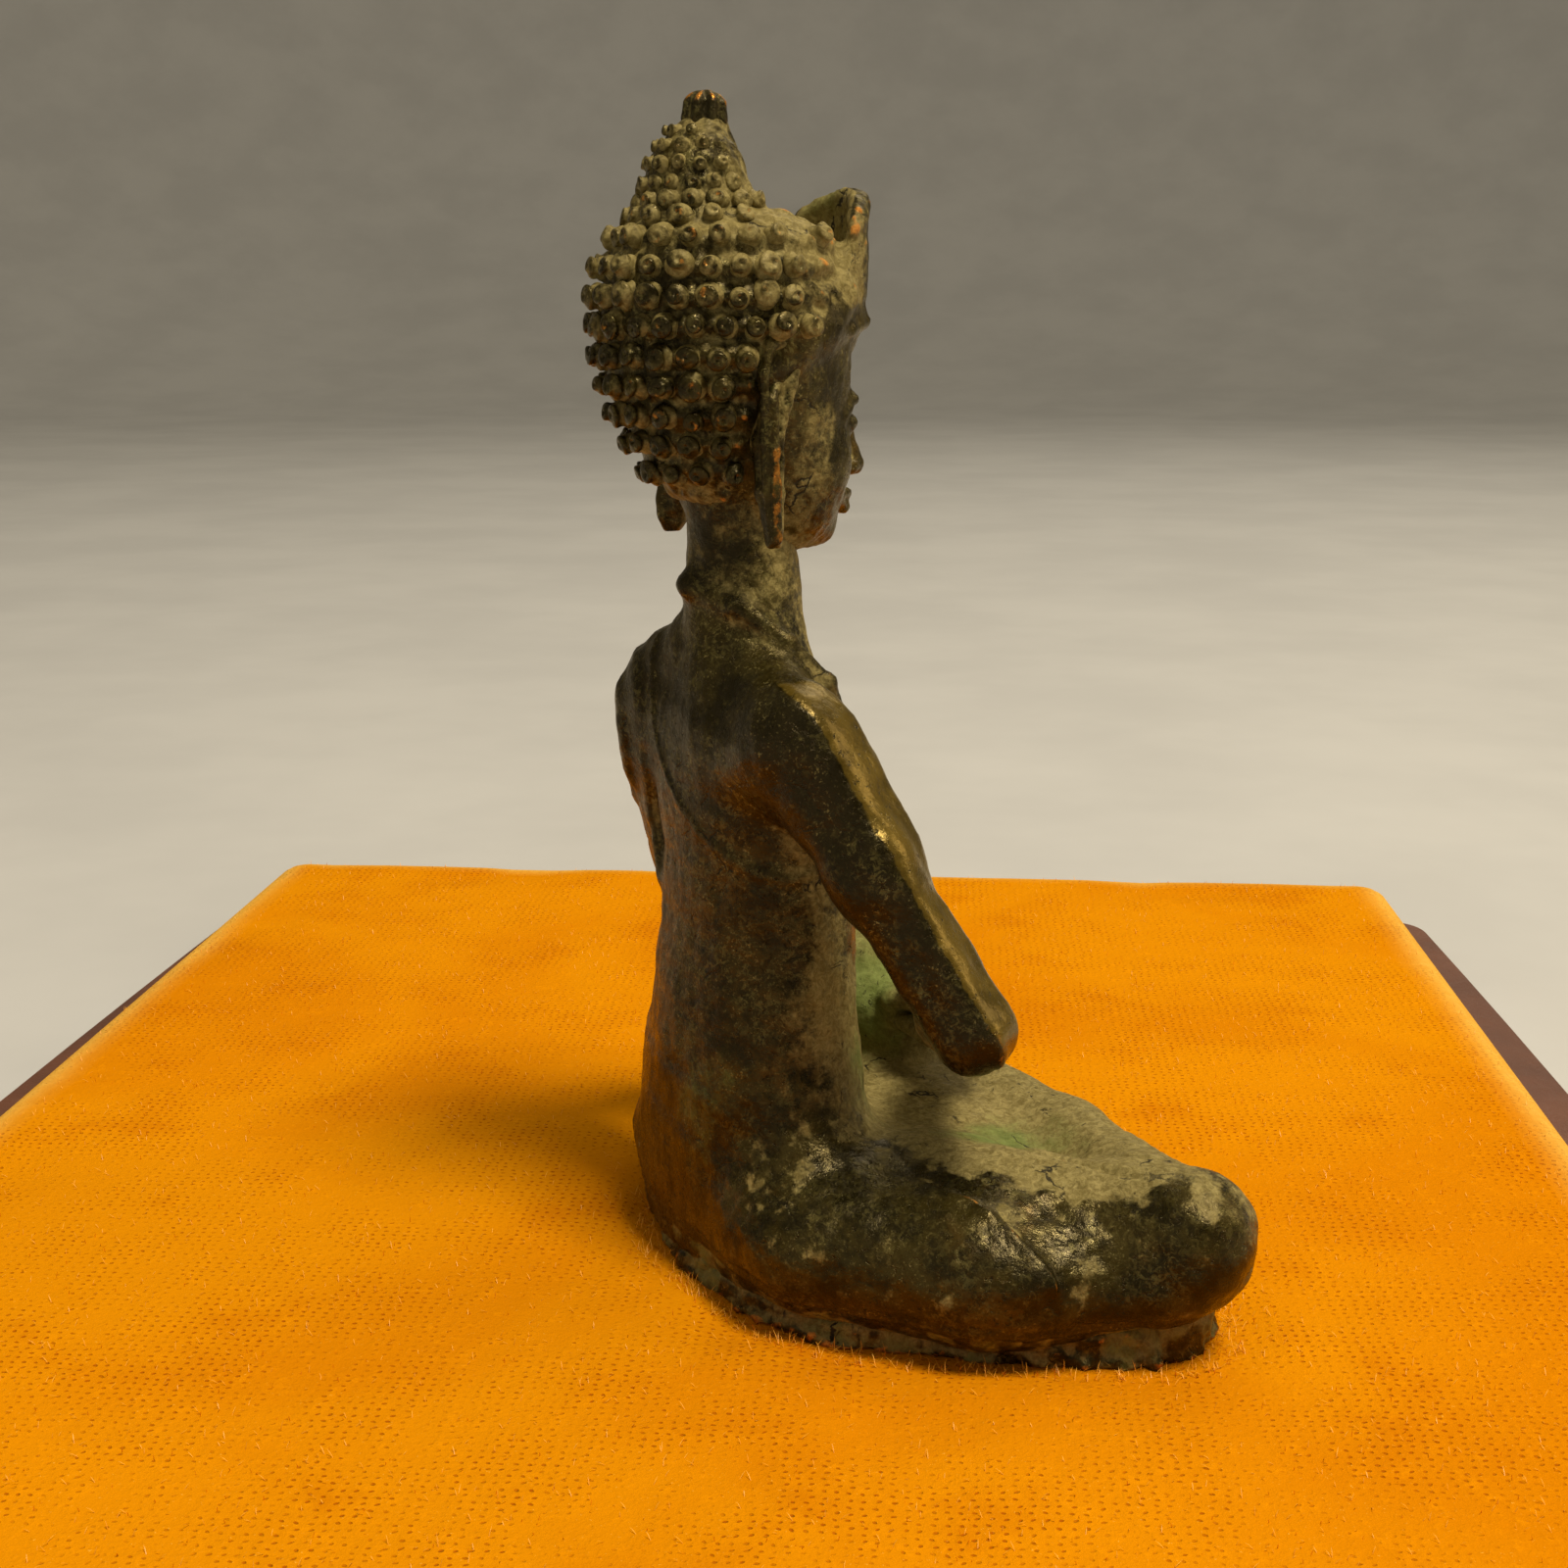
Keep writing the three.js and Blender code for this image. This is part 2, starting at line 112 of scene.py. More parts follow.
def join(a, b, k):
    """Smooth union of two fields, rounded over about k mm."""
    h = unit(0.5 + 0.5 * (b - a) / k)
    return b + (a - b) * h - k * h * (1 - h)


def merge(d, *parts):
    """A field with more fields joined to it, each given with its own rounding."""
    for part, k in parts:
        d = join(d, part, k)
    return d


def carve(a, b, k):
    """a with b cut out of it, the edge rounded over about k mm."""
    return -join(-a, b, k)


def cone(p, a, b, ra, rb):
    """A round bar from a to b with domed ends."""
    a = np.array(a, F32)
    ab = np.array(b, F32) - a
    t = unit(((p - a) @ ab) / float(ab @ ab))
    c = p - a - t[:, None] * ab
    return np.sqrt((c * c).sum(-1)) - (ra + (rb - ra) * t)


def chain(p, points, radii, k):
    """Bars through the points, joined smoothly."""
    d = cone(p, points[0], points[1], radii[0], radii[1])
    for i in range(1, len(points) - 1):
        d = join(d, cone(p, points[i], points[i + 1], radii[i], radii[i + 1]), k)
    return d


def ellipsoid(p, at, radii):
    q = p - np.array(at, F32)
    r = np.array(radii, F32)
    k0 = np.sqrt(((q / r) ** 2).sum(-1)) + 1e-6
    k1 = np.sqrt(((q / (r * r)) ** 2).sum(-1)) + 1e-6
    return np.where(k0 < 0.2, -r.min(), k0 * (k0 - 1) / k1)


def ripples(p, length, seed, count=7):
    """Smooth lumps of about that length, from -1 to 1: waves in seeded directions."""
    rng = np.random.default_rng(seed)
    total = np.zeros(len(p), F32)
    for _ in range(count):
        way = rng.normal(size=3)
        way *= 2 * math.pi / length / np.linalg.norm(way) * rng.uniform(0.7, 1.5)
        total += np.sin(p @ way.astype(F32) + F32(rng.uniform(0, 6.28)))
    return total / math.sqrt(count * 2)


def squashed(p, height):
    """The points with their levels scaled."""
    return p * np.array([1, 1, height], F32)


TABLE_PITCH = 0.1  # mm from one level to the next


def smooth_table(rows, spread=0.7):
    """A table of sections, by level, drawn fine and smoothed over about that many mm."""
    rows = np.array(rows, float)
    levels = np.arange(rows[0, 0], rows[-1, 0] + TABLE_PITCH / 2, TABLE_PITCH)
    half = int(spread / TABLE_PITCH * 2)
    kernel = np.exp(-0.5 * (np.arange(-half, half + 1) * TABLE_PITCH / spread) ** 2)
    kernel /= kernel.sum()
    out = [levels]
    for column in rows.T[1:]:
        line = np.interp(levels, rows[:, 0], column)
        before, after = 2 * line[0] - line[half:0:-1], 2 * line[-1] - line[-2:-half - 2:-1]
        out.append(np.convolve(np.concatenate([before, line, after]), kernel, "valid"))
    out.append(np.gradient(out[3], levels))
    return np.array(out, F32)


def turned(p, table):
    """A body of oval sections: level, centre forward, half depth, half width."""
    z = p[:, 2]
    c, a, b, slope = (np.interp(z, table[0], table[i]).astype(F32) for i in (1, 2, 3, 4))
    x, y = p[:, 0] - c, p[:, 1]
    k0 = np.sqrt((x / a) ** 2 + (y / b) ** 2) + 1e-6
    k1 = np.sqrt((x / (a * a)) ** 2 + (y / (b * b)) ** 2) + 1e-6
    d = np.where(k0 < 0.25, -b, k0 * (k0 - 1) / k1) / np.sqrt(1 + np.minimum(slope * slope, 9))
    return np.maximum(np.maximum(d, table[0][0] - z), z - table[0][-1])


# ---- The body ----

TORSO = smooth_table([
    (1.0, 0.9, 6.5, 11.2), (5.0, 0.8, 6.8, 11.5), (9.0, 0.5, 6.6, 11.2), (12.5, 0.4, 6.3, 10.4),
    (16.5, 0.5, 5.9, 9.3), (22.5, 1.0, 5.6, 8.2), (28.5, 1.0, 5.5, 8.1), (34.0, 0.4, 5.4, 8.8),
    (37.5, 0.1, 4.9, 8.3), (40.2, 0.0, 4.2, 5.8), (43.2, 0.0, 3.7, 4.0), (46.5, 0.0, 3.55, 3.4),
    (49.0, -0.1, 3.4, 3.3), (50.8, -0.5, 3.5, 3.5), (52.4, -1.2, 4.2, 4.1),
], 0.6)
SHOULDER = (-1.1, 9.6, 37.5)
ARM_MIDDLE = (1.7, 14.0, 29.6)
ELBOW = (6.0, 18.8, 20.2)
WRIST = (12.2, 7.0, 16.6)
RIGHT_KNEE, LEFT_KNEE = (17.3, -26.0, 7.5), (19.0, 25.2, 7.5)


def sided(point, side):
    return (point[0], point[1] * side, point[2])


ARM_AXIS = np.subtract(ELBOW, SHOULDER)
ARM_AXIS /= np.linalg.norm(ARM_AXIS)
CREST_WAY = np.array([-0.20, 0.91, 0.365])
ROBE_OVER_ARM = [(-2.0, 7.0, 36.8), (-1.5, 7.6, 32.8), (-0.9, 8.0, 28.8), (-1.2, 6.8, 25.0)]
ROBE_STRIP = [(-4.4, 5.7, 37.5), (-4.1, 6.2, 33.0), (-3.2, 6.9, 28.8), (-3.1, 5.7, 25.0)]


def arm_ridge(p, side):
    """How far a point stands towards the crest of the arm: 1 on the crest, -1 opposite it."""
    away = p - np.array(sided(SHOULDER, side), F32)
    axis = np.array(sided(ARM_AXIS, side), F32)
    away = away - np.outer(away @ axis, axis)
    return away @ np.array(sided(CREST_WAY, side), F32) / (np.linalg.norm(away, axis=1) + 0.01)


def arm_field(p, side):
    close = 1.0 if side < 0 else 0.94
    shoulder, middle, elbow = (sided(q, side * close) for q in (SHOULDER, ARM_MIDDLE, ELBOW))
    arm = chain(p, [shoulder, middle, elbow], [2.9, 2.6, 2.55], 2.0)
    arm = join(arm, cone(p, (-0.2, side * 10.2, 36.6), (2.0, side * 13.6, 30.4), 2.85, 2.5), 1.2)
    # A crest runs along the outer side of the arm, between two flatter faces.
    ridge = arm_ridge(p, side)
    arm = arm - 0.34 * np.exp((ridge - 1) / 0.045) + 0.22 * bell(ridge - 0.72, 0.22)
    blade = [(-1.4, side * 3.0, 35.6), (-1.3, side * 7.4, 35.4), (-0.1, side * 10.2, 32.4)]
    d = merge(arm, (cone(p, (-0.4, side * 3.5, 39.4), shoulder, 2.7, 2.3), 1.6),
              (chain(p, blade, [3.1, 2.6, 1.7], 2.0), 2.0))
    if side > 0:
        d = merge(d, (cone(p, (-1.6, 3.0, 41.0), (-1.8, 6.3, 39.1), 2.3, 2.2), 1.5),
                  (chain(p, ROBE_OVER_ARM, [2.7, 2.6, 2.2, 1.5], 1.5), 2.4),
                  (chain(p, ROBE_STRIP, [0.3, 0.34, 0.32, 0.25], 0.3), 0.5),
                  (cone(p, (9.5, 9.5, 15.5), (14.5, 4.5, 12.6), 3.0, 3.0), 2.0))
    forearm = [elbow, sided((8.8, 12.6, 18.8), side), sided(WRIST, side)]
    return join(d, chain(p, forearm, [2.3, 2.4, 1.9], 0.9), 0.9)


FINGER_REACH = (2.6, 3.3, 3.1, 2.1)


def hand_field(p, side, level):
    palm = ellipsoid(p, (14.6, side * 3.6, level + 0.1), (2.5, 3.6, 1.0))
    d = join(palm, cone(p, sided(WRIST, side), (14.0, side * 4.2, level + 0.2), 1.5, 1.05), 0.8)
    for i, reach in enumerate(FINGER_REACH):
        forward = 13.0 + 1.12 * i
        bent = [(forward, side * 2.4, level), (forward + 0.1, -side * 0.4, level + 0.1),
                (forward + 0.15, -side * reach, level - 0.25)]
        d = join(d, chain(p, bent, [0.62, 0.56, 0.46], 0.2), 0.22)
    thumb = [(12.9, side * 4.2, level + 0.9), (12.4, side * 1.9, level + 1.5),
             (12.9, side * 0.35, level + 1.9)]
    return join(d, chain(p, thumb, [0.75, 0.6, 0.5], 0.3), 0.35)


FLATTEN = 1.45  # how much wider than high a thigh is


def leg_field(p, side):
    """A folded leg: a broad flat thigh from haunch to knee, and the shin that crosses in front."""
    if side < 0:
        haunch = [(2.2, -10.2, 4.9), (8.5, -17.9, 4.7), (15.4, -24.7, 4.8)]
        girth, knee = [8.0, 7.3, 4.3], RIGHT_KNEE
        shin = [knee, (20.0, -9.0, 6.5), (18.3, 3.5, 8.0)]
    else:
        haunch = [(3.2, 8.6, 5.0), (10.4, 16.6, 4.7), (17.4, 24.0, 4.8)]
        girth, knee = [6.7, 6.3, 4.1], LEFT_KNEE
        shin = [knee, (21.4, 8.0, 5.8), (20.8, -8.0, 4.4)]
    flat = squashed(p, FLATTEN)
    d = chain(flat, [(x, y, z * FLATTEN) for x, y, z in haunch], girth, 2.0) * 0.8
    d = join(d, cone(p, (haunch[0][0] + 4.5, haunch[0][1] * 1.15, 6.4), knee, 4.0, 3.6), 2.4)
    return join(d, chain(p, shin, [3.4, 2.9, 1.9], 1.5), 2.2)


def foot_field(p):
    """The right foot lies sole up on the left thigh."""
    sole = cone(p, (18.3, 3.0, 8.2), (17.2, 12.2, 8.5), 1.6, 1.9)
    sole = join(sole, ellipsoid(p, (17.6, 9.0, 9.2), (1.9, 5.4, 1.0)), 1.0)
    for i in range(5):
        root = (15.7 + 0.95 * i, 13.2 - 0.25 * i, 9.0)
        tip = (15.6 + 0.98 * i, 15.0 - 0.4 * i, 9.1)
        sole = join(sole, cone(p, root, tip, 0.62, 0.56 if i else 0.68), 0.25)
    return sole


ROBE_EDGE_ACROSS = [-9.5, -6.3, -3.0, 0.0, 1.4, 3.0, 4.2, 5.2, 6.2]
ROBE_EDGE_LEVEL = [27.6, 28.5, 30.2, 32.1, 33.4, 35.8, 38.6, 42.0, 47.0]
CHEST_EDGE_ACROSS = [-9.5, -6.0, -2.0, 2.0, 5.0, 7.0, 8.5]
CHEST_EDGE_LEVEL = [28.6, 30.0, 32.6, 36.2, 39.6, 42.5, 46.0]


def robe_side(p):
    """How far inside the robe's edge a place is: below a curve that runs down from the left shoulder."""
    x, y, z = p.T
    back = np.interp(y, ROBE_EDGE_ACROSS, ROBE_EDGE_LEVEL) - z
    chest = np.interp(y, CHEST_EDGE_ACROSS, CHEST_EDGE_LEVEL) - z
    front = step(x, -1.0, 3.0)
    return (back * (1 - front) + chest * front) * 0.75


def collar_field(p):
    """The ridge round the base of the neck, from a knob at the nape down to the chest."""
    route = [(-3.6, 0.0, 45.3), (-2.2, -3.3, 44.4), (0.6, -5.2, 42.2), (3.0, -6.0, 39.6), (4.6, -5.0, 36.6)]
    left = [(x, -y, z) for x, y, z in route]
    d = chain(p, route, [0.62, 0.5, 0.5, 0.45, 0.35], 0.5)
    d = join(d, chain(p, left, [0.62, 0.45, 0.45, 0.4, 0.3], 0.5), 0.3)
    return join(d, ellipsoid(p, (-3.75, 0.0, 45.4), (0.8, 0.95, 0.75)), 0.5)


DRAPE = [(-0.6, 8.8, 35.5), (0.2, 9.7, 31.0), (0.8, 10.0, 26.0), (1.3, 9.8, 20.5), (1.3, 9.8, 14.5)]
# Rough patches: place, radius, height and grain.
ROUGH = [((-3.5, -10.8, 7.8), 3.6, 0.10, 1.1), ((11.5, -21.5, 8.4), 2.8, 0.17, 1.6),
         ((6.5, -14.0, 9.5), 2.4, 0.10, 1.0)]


def body_field(p):
    x, y, z = p.T
    d = turned(p, TORSO)
    for side in (-1, 1):
        d = join(d, arm_field(p, side), 1.3)
    # Cloth hangs from the left arm and closes the space between it and the side.
    d = join(d, chain(p, DRAPE, [2.6, 2.9, 2.5, 2.0, 1.7], 1.5), 2.0)
    legs = join(leg_field(p, -1), leg_field(p, 1), 1.6)
    lap = ellipsoid(p, (11.5, 0, 5.0), (11.5, 17.0, 4.8))
    d = merge(d, (join(legs, lap, 2.4), 2.8), (foot_field(p), 0.5), (collar_field(p), 0.8),
              (hand_field(p, 1, 13.2), 0.4), (hand_field(p, -1, 15.2), 0.35))
    # The robe stands a little proud of the skin and rolls over at its edge.
    inside = robe_side(p)
    trunk = window(z, 10.5, 14, 41, 43.5) * (1 - step(-y - x * 0.4, 8.8, 10.5))
    d = d - trunk * (0.12 * step(inside, -0.2, 0.2) + 0.13 * bell(inside - 0.3, 0.26))
    # Its folds hang down over the left side.
    across = x * 0.88 - y * 0.47
    d = d - 0.13 * np.sin(across * 4.0 + z * 0.3) * step(y, 3.0, 7.0) * window(z, 12, 18, 39, 43)
    # A hem runs down over the right thigh, two more over the left, and creases cross the lap.
    below_arms = 1 - step(z, 12.0, 13.5)
    ahead = (x - 5.2) * 0.937 + (y + 19.1) * 0.35
    thigh = step(-y, 15.0, 18.0) * step(z, 4.8, 6.5) * below_arms
    d = d - thigh * (0.38 * (1 - step(ahead, -0.25, 0.25)) * bell(ahead, 2.4) + 0.10 * bell(ahead + 0.1, 0.35))
    for shift in (0.0, 3.2):
        hem = [(9.4 + shift, 16.4, 9.6), (9.9 + shift, 19.0, 8.0), (10.0 + shift, 21.0, 5.6)]
        d = join(d, chain(p, hem, [0.2, 0.3, 0.2], 0.3), 0.6)
    for outward in (-y, y):
        over = (x - 10.3) * 0.937 - (outward - 12.3) * 0.349 + 0.4 * ripples(p, 4.0, 15)
        on_lap = window(outward, 10.0, 12.5, 22.0, 24.5) * step(z, 7.0, 8.5) * below_arms
        d = d + 0.42 * on_lap * (bell(over, 0.3) + 0.6 * bell(over - 3.2, 0.28))
    # Two shallow grooves run round the hem above the plinth.
    low = z + 0.25 * ripples(squashed(p, 0.2), 7.0, 9)
    d = d + 0.16 * (bell(low - 3.3, 0.2) + 0.8 * bell(low - 2.3, 0.2))
    # The skin is uneven like poured wax, and rougher in a few places on the right leg.
    d = d + 0.10 * ripples(p, 6.5, 3) + 0.06 * ripples(p, 2.1, 4) + 0.03 * ripples(p, 1.0, 5)
    for at, reach, height, length in ROUGH:
        d = d + height * blob(p, at, reach) * ripples(p, length, 6)
    return np.maximum(d, 0.9 - z)


# ---- The plinth ----

PLINTH = [
    (-5.6, 0.0), (-5.4, -5.0), (-4.9, -9.5), (-3.2, -14.0), (0.2, -17.4), (4.1, -20.4), (10.3, -25.2),
    (13.3, -26.7), (17.6, -27.5), (21.5, -24.0), (23.5, -14.0), (24.4, 0.0), (24.8, 9.0), (23.5, 19.0),
    (19.0, 26.0), (12.5, 24.3), (6.5, 19.3), (1.8, 14.0), (-1.4, 9.5), (-4.0, 5.0),
]
PLINTH_CENTRE = 9.0


def plinth_rim():
    """The plinth's outline as angles and smoothed distances round its centre."""
    angle = np.array([math.atan2(y, x - PLINTH_CENTRE) for x, y in PLINTH])
    reach = np.array([math.hypot(x - PLINTH_CENTRE, y) for x, y in PLINTH])
    order = np.argsort(angle)
    fine = np.linspace(-math.pi, math.pi, 361)
    smooth = np.interp(fine, angle[order], reach[order], period=2 * math.pi)
    around = np.concatenate([smooth[-11:-1], smooth, smooth[1:11]])
    return fine, np.convolve(around, np.ones(11) / 11, "same")[10:-10]


PLINTH_RIM = plinth_rim()


def plinth_field(p):
    x, y, z = p.T
    rim = np.interp(np.arctan2(y, x - PLINTH_CENTRE), *PLINTH_RIM).astype(F32) - 0.45
    ragged = 0.26 * ripples(squashed(p, 0.3), 3.4, 11) + 0.20 * ripples(p, 1.3, 12)
    flare = 0.30 * (1 - step(z, 0.0, 1.3))
    wall = (np.hypot(x - PLINTH_CENTRE, y) - rim - flare + ragged) * 0.8
    top = 1.5 + 0.8 * step(x, 0, 16) + 0.12 * ripples(squashed(p, 0), 4.0, 13)
    slab = -join(-wall, -(z - top), 0.6)
    for side in (-1, 1):
        slab = join(slab, ellipsoid(p, (16.8, side * 24.6, 1.7), (3.0, 2.5, 2.3)), 0.8)
        # Folds of cloth fan out under the knee.
        for i in range(4):
            high = (14.4 + 1.3 * i, side * (25.4 - 0.35 * i), 3.4)
            low = (14.2 + 1.6 * i, side * (27.0 - 0.8 * i), 0.3)
            slab = join(slab, cone(p, high, low, 0.35, 0.5), 0.5)
    return np.maximum(slab + 0.06 * ripples(p, 1.0, 14), -z - 0.15)


# ---- The head ----

HEAD_CENTRE = -0.9
SKULL = smooth_table([
    (50.4, -0.9, 2.4, 2.4), (51.8, -0.9, 4.5, 4.2), (52.9, -0.9, 5.2, 4.8), (54.4, -0.9, 6.0, 5.5),
    (56.0, -0.9, 6.8, 6.1), (57.8, -0.9, 7.5, 6.6), (59.5, -0.9, 7.8, 6.8), (61.3, -0.9, 8.0, 6.9),
    (63.0, -0.9, 7.95, 6.85), (64.8, -0.9, 7.6, 6.6), (66.2, -0.9, 6.8, 6.0), (67.1, -1.1, 5.8, 5.2),
    (67.8, -1.6, 4.2, 4.0), (68.2, -1.8, 2.6, 2.6),
], 0.3)
CROWN = smooth_table([
    (64.5, -2.7, 4.4, 4.4), (66.8, -2.7, 4.2, 4.2), (68.2, -2.8, 3.6, 3.6), (69.8, -2.95, 3.15, 3.15),
    (71.0, -3.0, 2.8, 2.8), (72.0, -2.85, 2.2, 2.2), (72.8, -2.6, 1.6, 1.6), (73.4, -2.45, 1.2, 1.2),
    (73.6, -2.4, 0.6, 0.6),
], 0.25)
# Face proportions: hairline to brow, brow to nose base and nose base to chin are equal.
CHIN, HAIRLINE = 47.2, 61.4
THIRD = (HAIRLINE - CHIN) / 3
NOSE_BASE, BROW = CHIN + THIRD, CHIN + 2 * THIRD
MOUTH = NOSE_BASE - THIRD / 3
EYES = BROW - THIRD * 0.26


def head_field(p):
    x, y, z = p.T
    q = np.stack([x, np.abs(y), z], -1)
    d = turned(p, SKULL)
    cheek = ellipsoid(q, (3.7, 3.0, NOSE_BASE + 1.2), (1.9, 1.9, 2.2))
    d = merge(d, (ellipsoid(p, (1.7, 0, 55.6), (4.9, 5.6, 7.0)), 1.4),
              (ellipsoid(p, (2.4, 0, 51.2), (4.0, 4.5, 4.1)), 1.8),
              (ellipsoid(p, (5.0, 0, CHIN + 1.5), (1.4, 1.7, 1.2)), 1.2), (cheek, 1.4))
    hairband = [(8.1, 0, HAIRLINE + 0.3), (7.3, 2.4, HAIRLINE + 0.1), (5.2, 4.6, HAIRLINE - 0.4),
                (2.6, 5.8, HAIRLINE - 1.0)]
    brow = [(6.9, 0.55, BROW - 0.75), (6.95, 1.5, BROW + 0.15), (6.2, 3.1, BROW + 0.1), (4.9, 4.4, BROW - 0.9)]
    d = merge(d, (chain(q, hairband, [0.35, 0.35, 0.3, 0.25], 0.3), 0.5),
              (chain(q, brow, [0.3, 0.34, 0.3, 0.2], 0.3), 0.6))
    d = carve(d, ellipsoid(q, (7.0, 2.15, EYES - 0.1), (0.9, 1.65, 0.9)), 0.7)
    d = join(d, ellipsoid(q, (5.55, 2.15, EYES - 0.15), (1.25, 1.55, 0.9)), 0.25)
    slit = [(6.9, 0.8, EYES - 0.4), (7.05, 2.15, EYES - 0.78), (6.3, 3.5, EYES - 0.4)]
    d = carve(d, chain(q, slit, [0.1, 0.13, 0.1], 0.05), 0.15)
    bridge = [(6.7, 0, BROW - 0.5), (7.2, 0, BROW - 2.2), (7.9, 0, NOSE_BASE + 0.65)]
    nostril = ellipsoid(q, (7.1, 0.95, NOSE_BASE + 0.5), (0.75, 0.6, 0.55))
    nose = join(chain(p, bridge, [0.52, 0.62, 0.78], 0.4), nostril, 0.35)
    upper = [(7.1, 0, MOUTH + 0.24), (6.95, 0.85, MOUTH + 0.38), (5.9, 2.4, MOUTH + 0.4)]
    lower = [(6.95, 0, MOUTH - 0.55), (6.75, 0.9, MOUTH - 0.45), (5.95, 2.0, MOUTH + 0.1)]
    temple = [(4.4, 5.0, 63.0), (2.7, 5.8, 61.2), (0.8, 6.3, 60.2), (-1.2, 6.3, 58.8)]
    d = merge(d, (nose, 0.6), (chain(q, upper, [0.38, 0.36, 0.15], 0.2), 0.35),
              (chain(q, lower, [0.46, 0.42, 0.15], 0.2), 0.35), (turned(p, CROWN), 0.9),
              (frontlet_field(p), 0.8), (chain(q, temple, [0.8, 0.8, 0.7, 0.6], 0.8), 1.2))
    # Residue of the casting lies between the crown and the frontlet, and each tier of curls has a low ridge.
    d = d - blob(p, (1.6, -2.4, 65.4), (2.6, 4.2, 2.6)) * (0.36 + 0.45 * ripples(p, 1.3, 21))
    hair = hair_mask(p)
    tier = 0.5 + 0.5 * np.cos((z - HAIR_BOTTOM) * (2 * math.pi / HAIR_PITCH))
    d = d - 0.30 * hair * tier * (1 - step(z, 66.3, 67.3))
    return d + (0.03 + 0.08 * hair) * ripples(p, 1.4, 22) + 0.03 * ripples(p, 0.7, 23)


HAIR_ROWS, HAIR_PITCH, HAIR_BOTTOM = 9, 1.73, 52.6
EAR_LEVEL, BEHIND_EAR = 60.6, -2.3
CROWN_LEVELS = [69.5, 70.7, 71.7, 72.5]
FRONTLET_LEVELS = [59.0, 61.0, 64.0, 66.0, 68.3, 69.6]  # its rear edge is given at these levels


def hairline(level):
    """How far forward the hair reaches: behind the ear below, and along the frontlet's rear edge above."""
    above = np.interp(level, FRONTLET_LEVELS, [1.4, 2.2, 3.3, 4.2, 5.2, 6.0])
    return BEHIND_EAR + (above - BEHIND_EAR) * step(level, EAR_LEVEL - 0.8, EAR_LEVEL + 0.5)


def hair_mask(p):
    """1 on the scalp and 0 on the face."""
    return 1 - step(p[:, 0] - hairline(p[:, 2]), -0.6, 0.2)


FRONTLET_TOP = 69.5
FRONTLET_CENTRE, FRONTLET_RADIUS = 3.2, 4.45


def frontlet_field(p):
    """An upright band in front of the hairline with a thick rim and an arched top."""
    x, y, z = p.T
    radius = np.hypot(x - FRONTLET_CENTRE, y)
    ring = np.abs(radius - FRONTLET_RADIUS + 0.6 * (1 - step(z, 60.0, 64.0))) - 0.55
    arch = FRONTLET_TOP - 0.085 * y ** 2 - z
    rear = np.interp(z, FRONTLET_LEVELS, [1.9, 2.6, 4.0, 5.0, 5.9, 6.6]).astype(F32) - x
    inside = np.maximum(np.maximum(-arch * 0.8, rear * 0.9), 60.2 - z)
    d = -join(-ring, -inside, 0.7)
    rim = np.hypot(np.maximum(np.abs(radius - FRONTLET_RADIUS) - 0.2, 0), arch * 0.8 - 0.5) - 0.45
    rim = -join(-rim, -rear * 0.9, 0.4)
    return join(d, rim, 0.4) + 0.05 * ripples(p, 1.3, 32)


def ear_field(p, side):
    q = p * np.array([1, side, 1], F32)
    thick = 1.0 if side < 0 else 1.35
    rear = [(-1.5, 6.75, 60.3), (-2.0, 6.95, 58.6), (-2.0, 7.0, 54.6), (-1.9, 7.1, 51.6), (-1.6, 7.2, 48.6)]
    middle = [(-0.9, 6.3, 58.6), (-1.4, 7.0, 56.9), (-1.5, 7.35, 54.0), (-1.5, 7.5, 51.6), (-1.45, 7.5, 48.8)]
    front = [(0.8, 6.3, 60.1), (0.0, 6.7, 58.0), (-0.9, 6.85, 54.8), (-1.0, 7.0, 51.6), (-1.2, 7.15, 48.5)]
    web = [(-0.4, 5.8, 60.0), (-0.9, 5.7, 57.2), (-1.35, 5.9, 54.4), (-1.4, 6.2, 51.6), (-1.4, 6.9, 48.8)]
    d = chain(q, rear, [0.34, 0.34, 0.28, 0.28, 0.32], 0.2)
    d = merge(d, (chain(q, front, [0.4, 0.36, 0.28, 0.28, 0.3], 0.2), 0.15),
              (chain(q, middle, [0.25, 0.32, 0.32, 0.34, 0.36], 0.2), 0.15),
              (chain(q, web, [r * thick for r in (1.1, 1.0, 0.85, 0.75, 0.5)], 0.3), 0.2),
              (cone(q, (-1.5, 6.75, 60.3), (0.8, 6.4, 60.2), 0.42, 0.4), 0.3))
    if side > 0:
        d = join(d, ellipsoid(q, (-1.7, 7.0, 49.9), (1.15, 0.55, 2.1)), 0.3)
    return d + 0.05 * ripples(p, 1.2, 41)


def finial_field(p):
    q = p - np.array([CROWN_AXIS, 0, 0], F32)
    turn = np.arctan2(q[:, 1], q[:, 0])
    bud = np.interp(p[:, 2], [71.4, 72.6, 73.4, 74.3, 75.2], [1.5, 1.3, 1.36, 1.24, 0.7]).astype(F32)
    flutes = 0.13 * np.cos(turn * 8 + 0.5 + 0.5 * np.sin(p[:, 2] * 2.0)) * step(p[:, 2], 71.6, 72.6)
    d = np.hypot(q[:, 0], q[:, 1]) - bud - flutes
    d = -join(-d * 0.85, -(p[:, 2] - FIGURE_HEIGHT), 0.8)
    return np.maximum(d, 70.6 - p[:, 2]) + 0.03 * ripples(p, 0.9, 51)


def whole_field(p):
    d = np.minimum(body_field(p), head_field(p))
    return np.minimum(d, plinth_field(p))


# ---- From field to mesh ----

BLOCK = 16
HALF_DIAGONAL, FIELD_SLACK = 0.87, 1.7
THREADS = 4
CHUNK = 20000  # points worked out in one go
PROBE = 0.45  # how far each way a bend in the surface is felt for


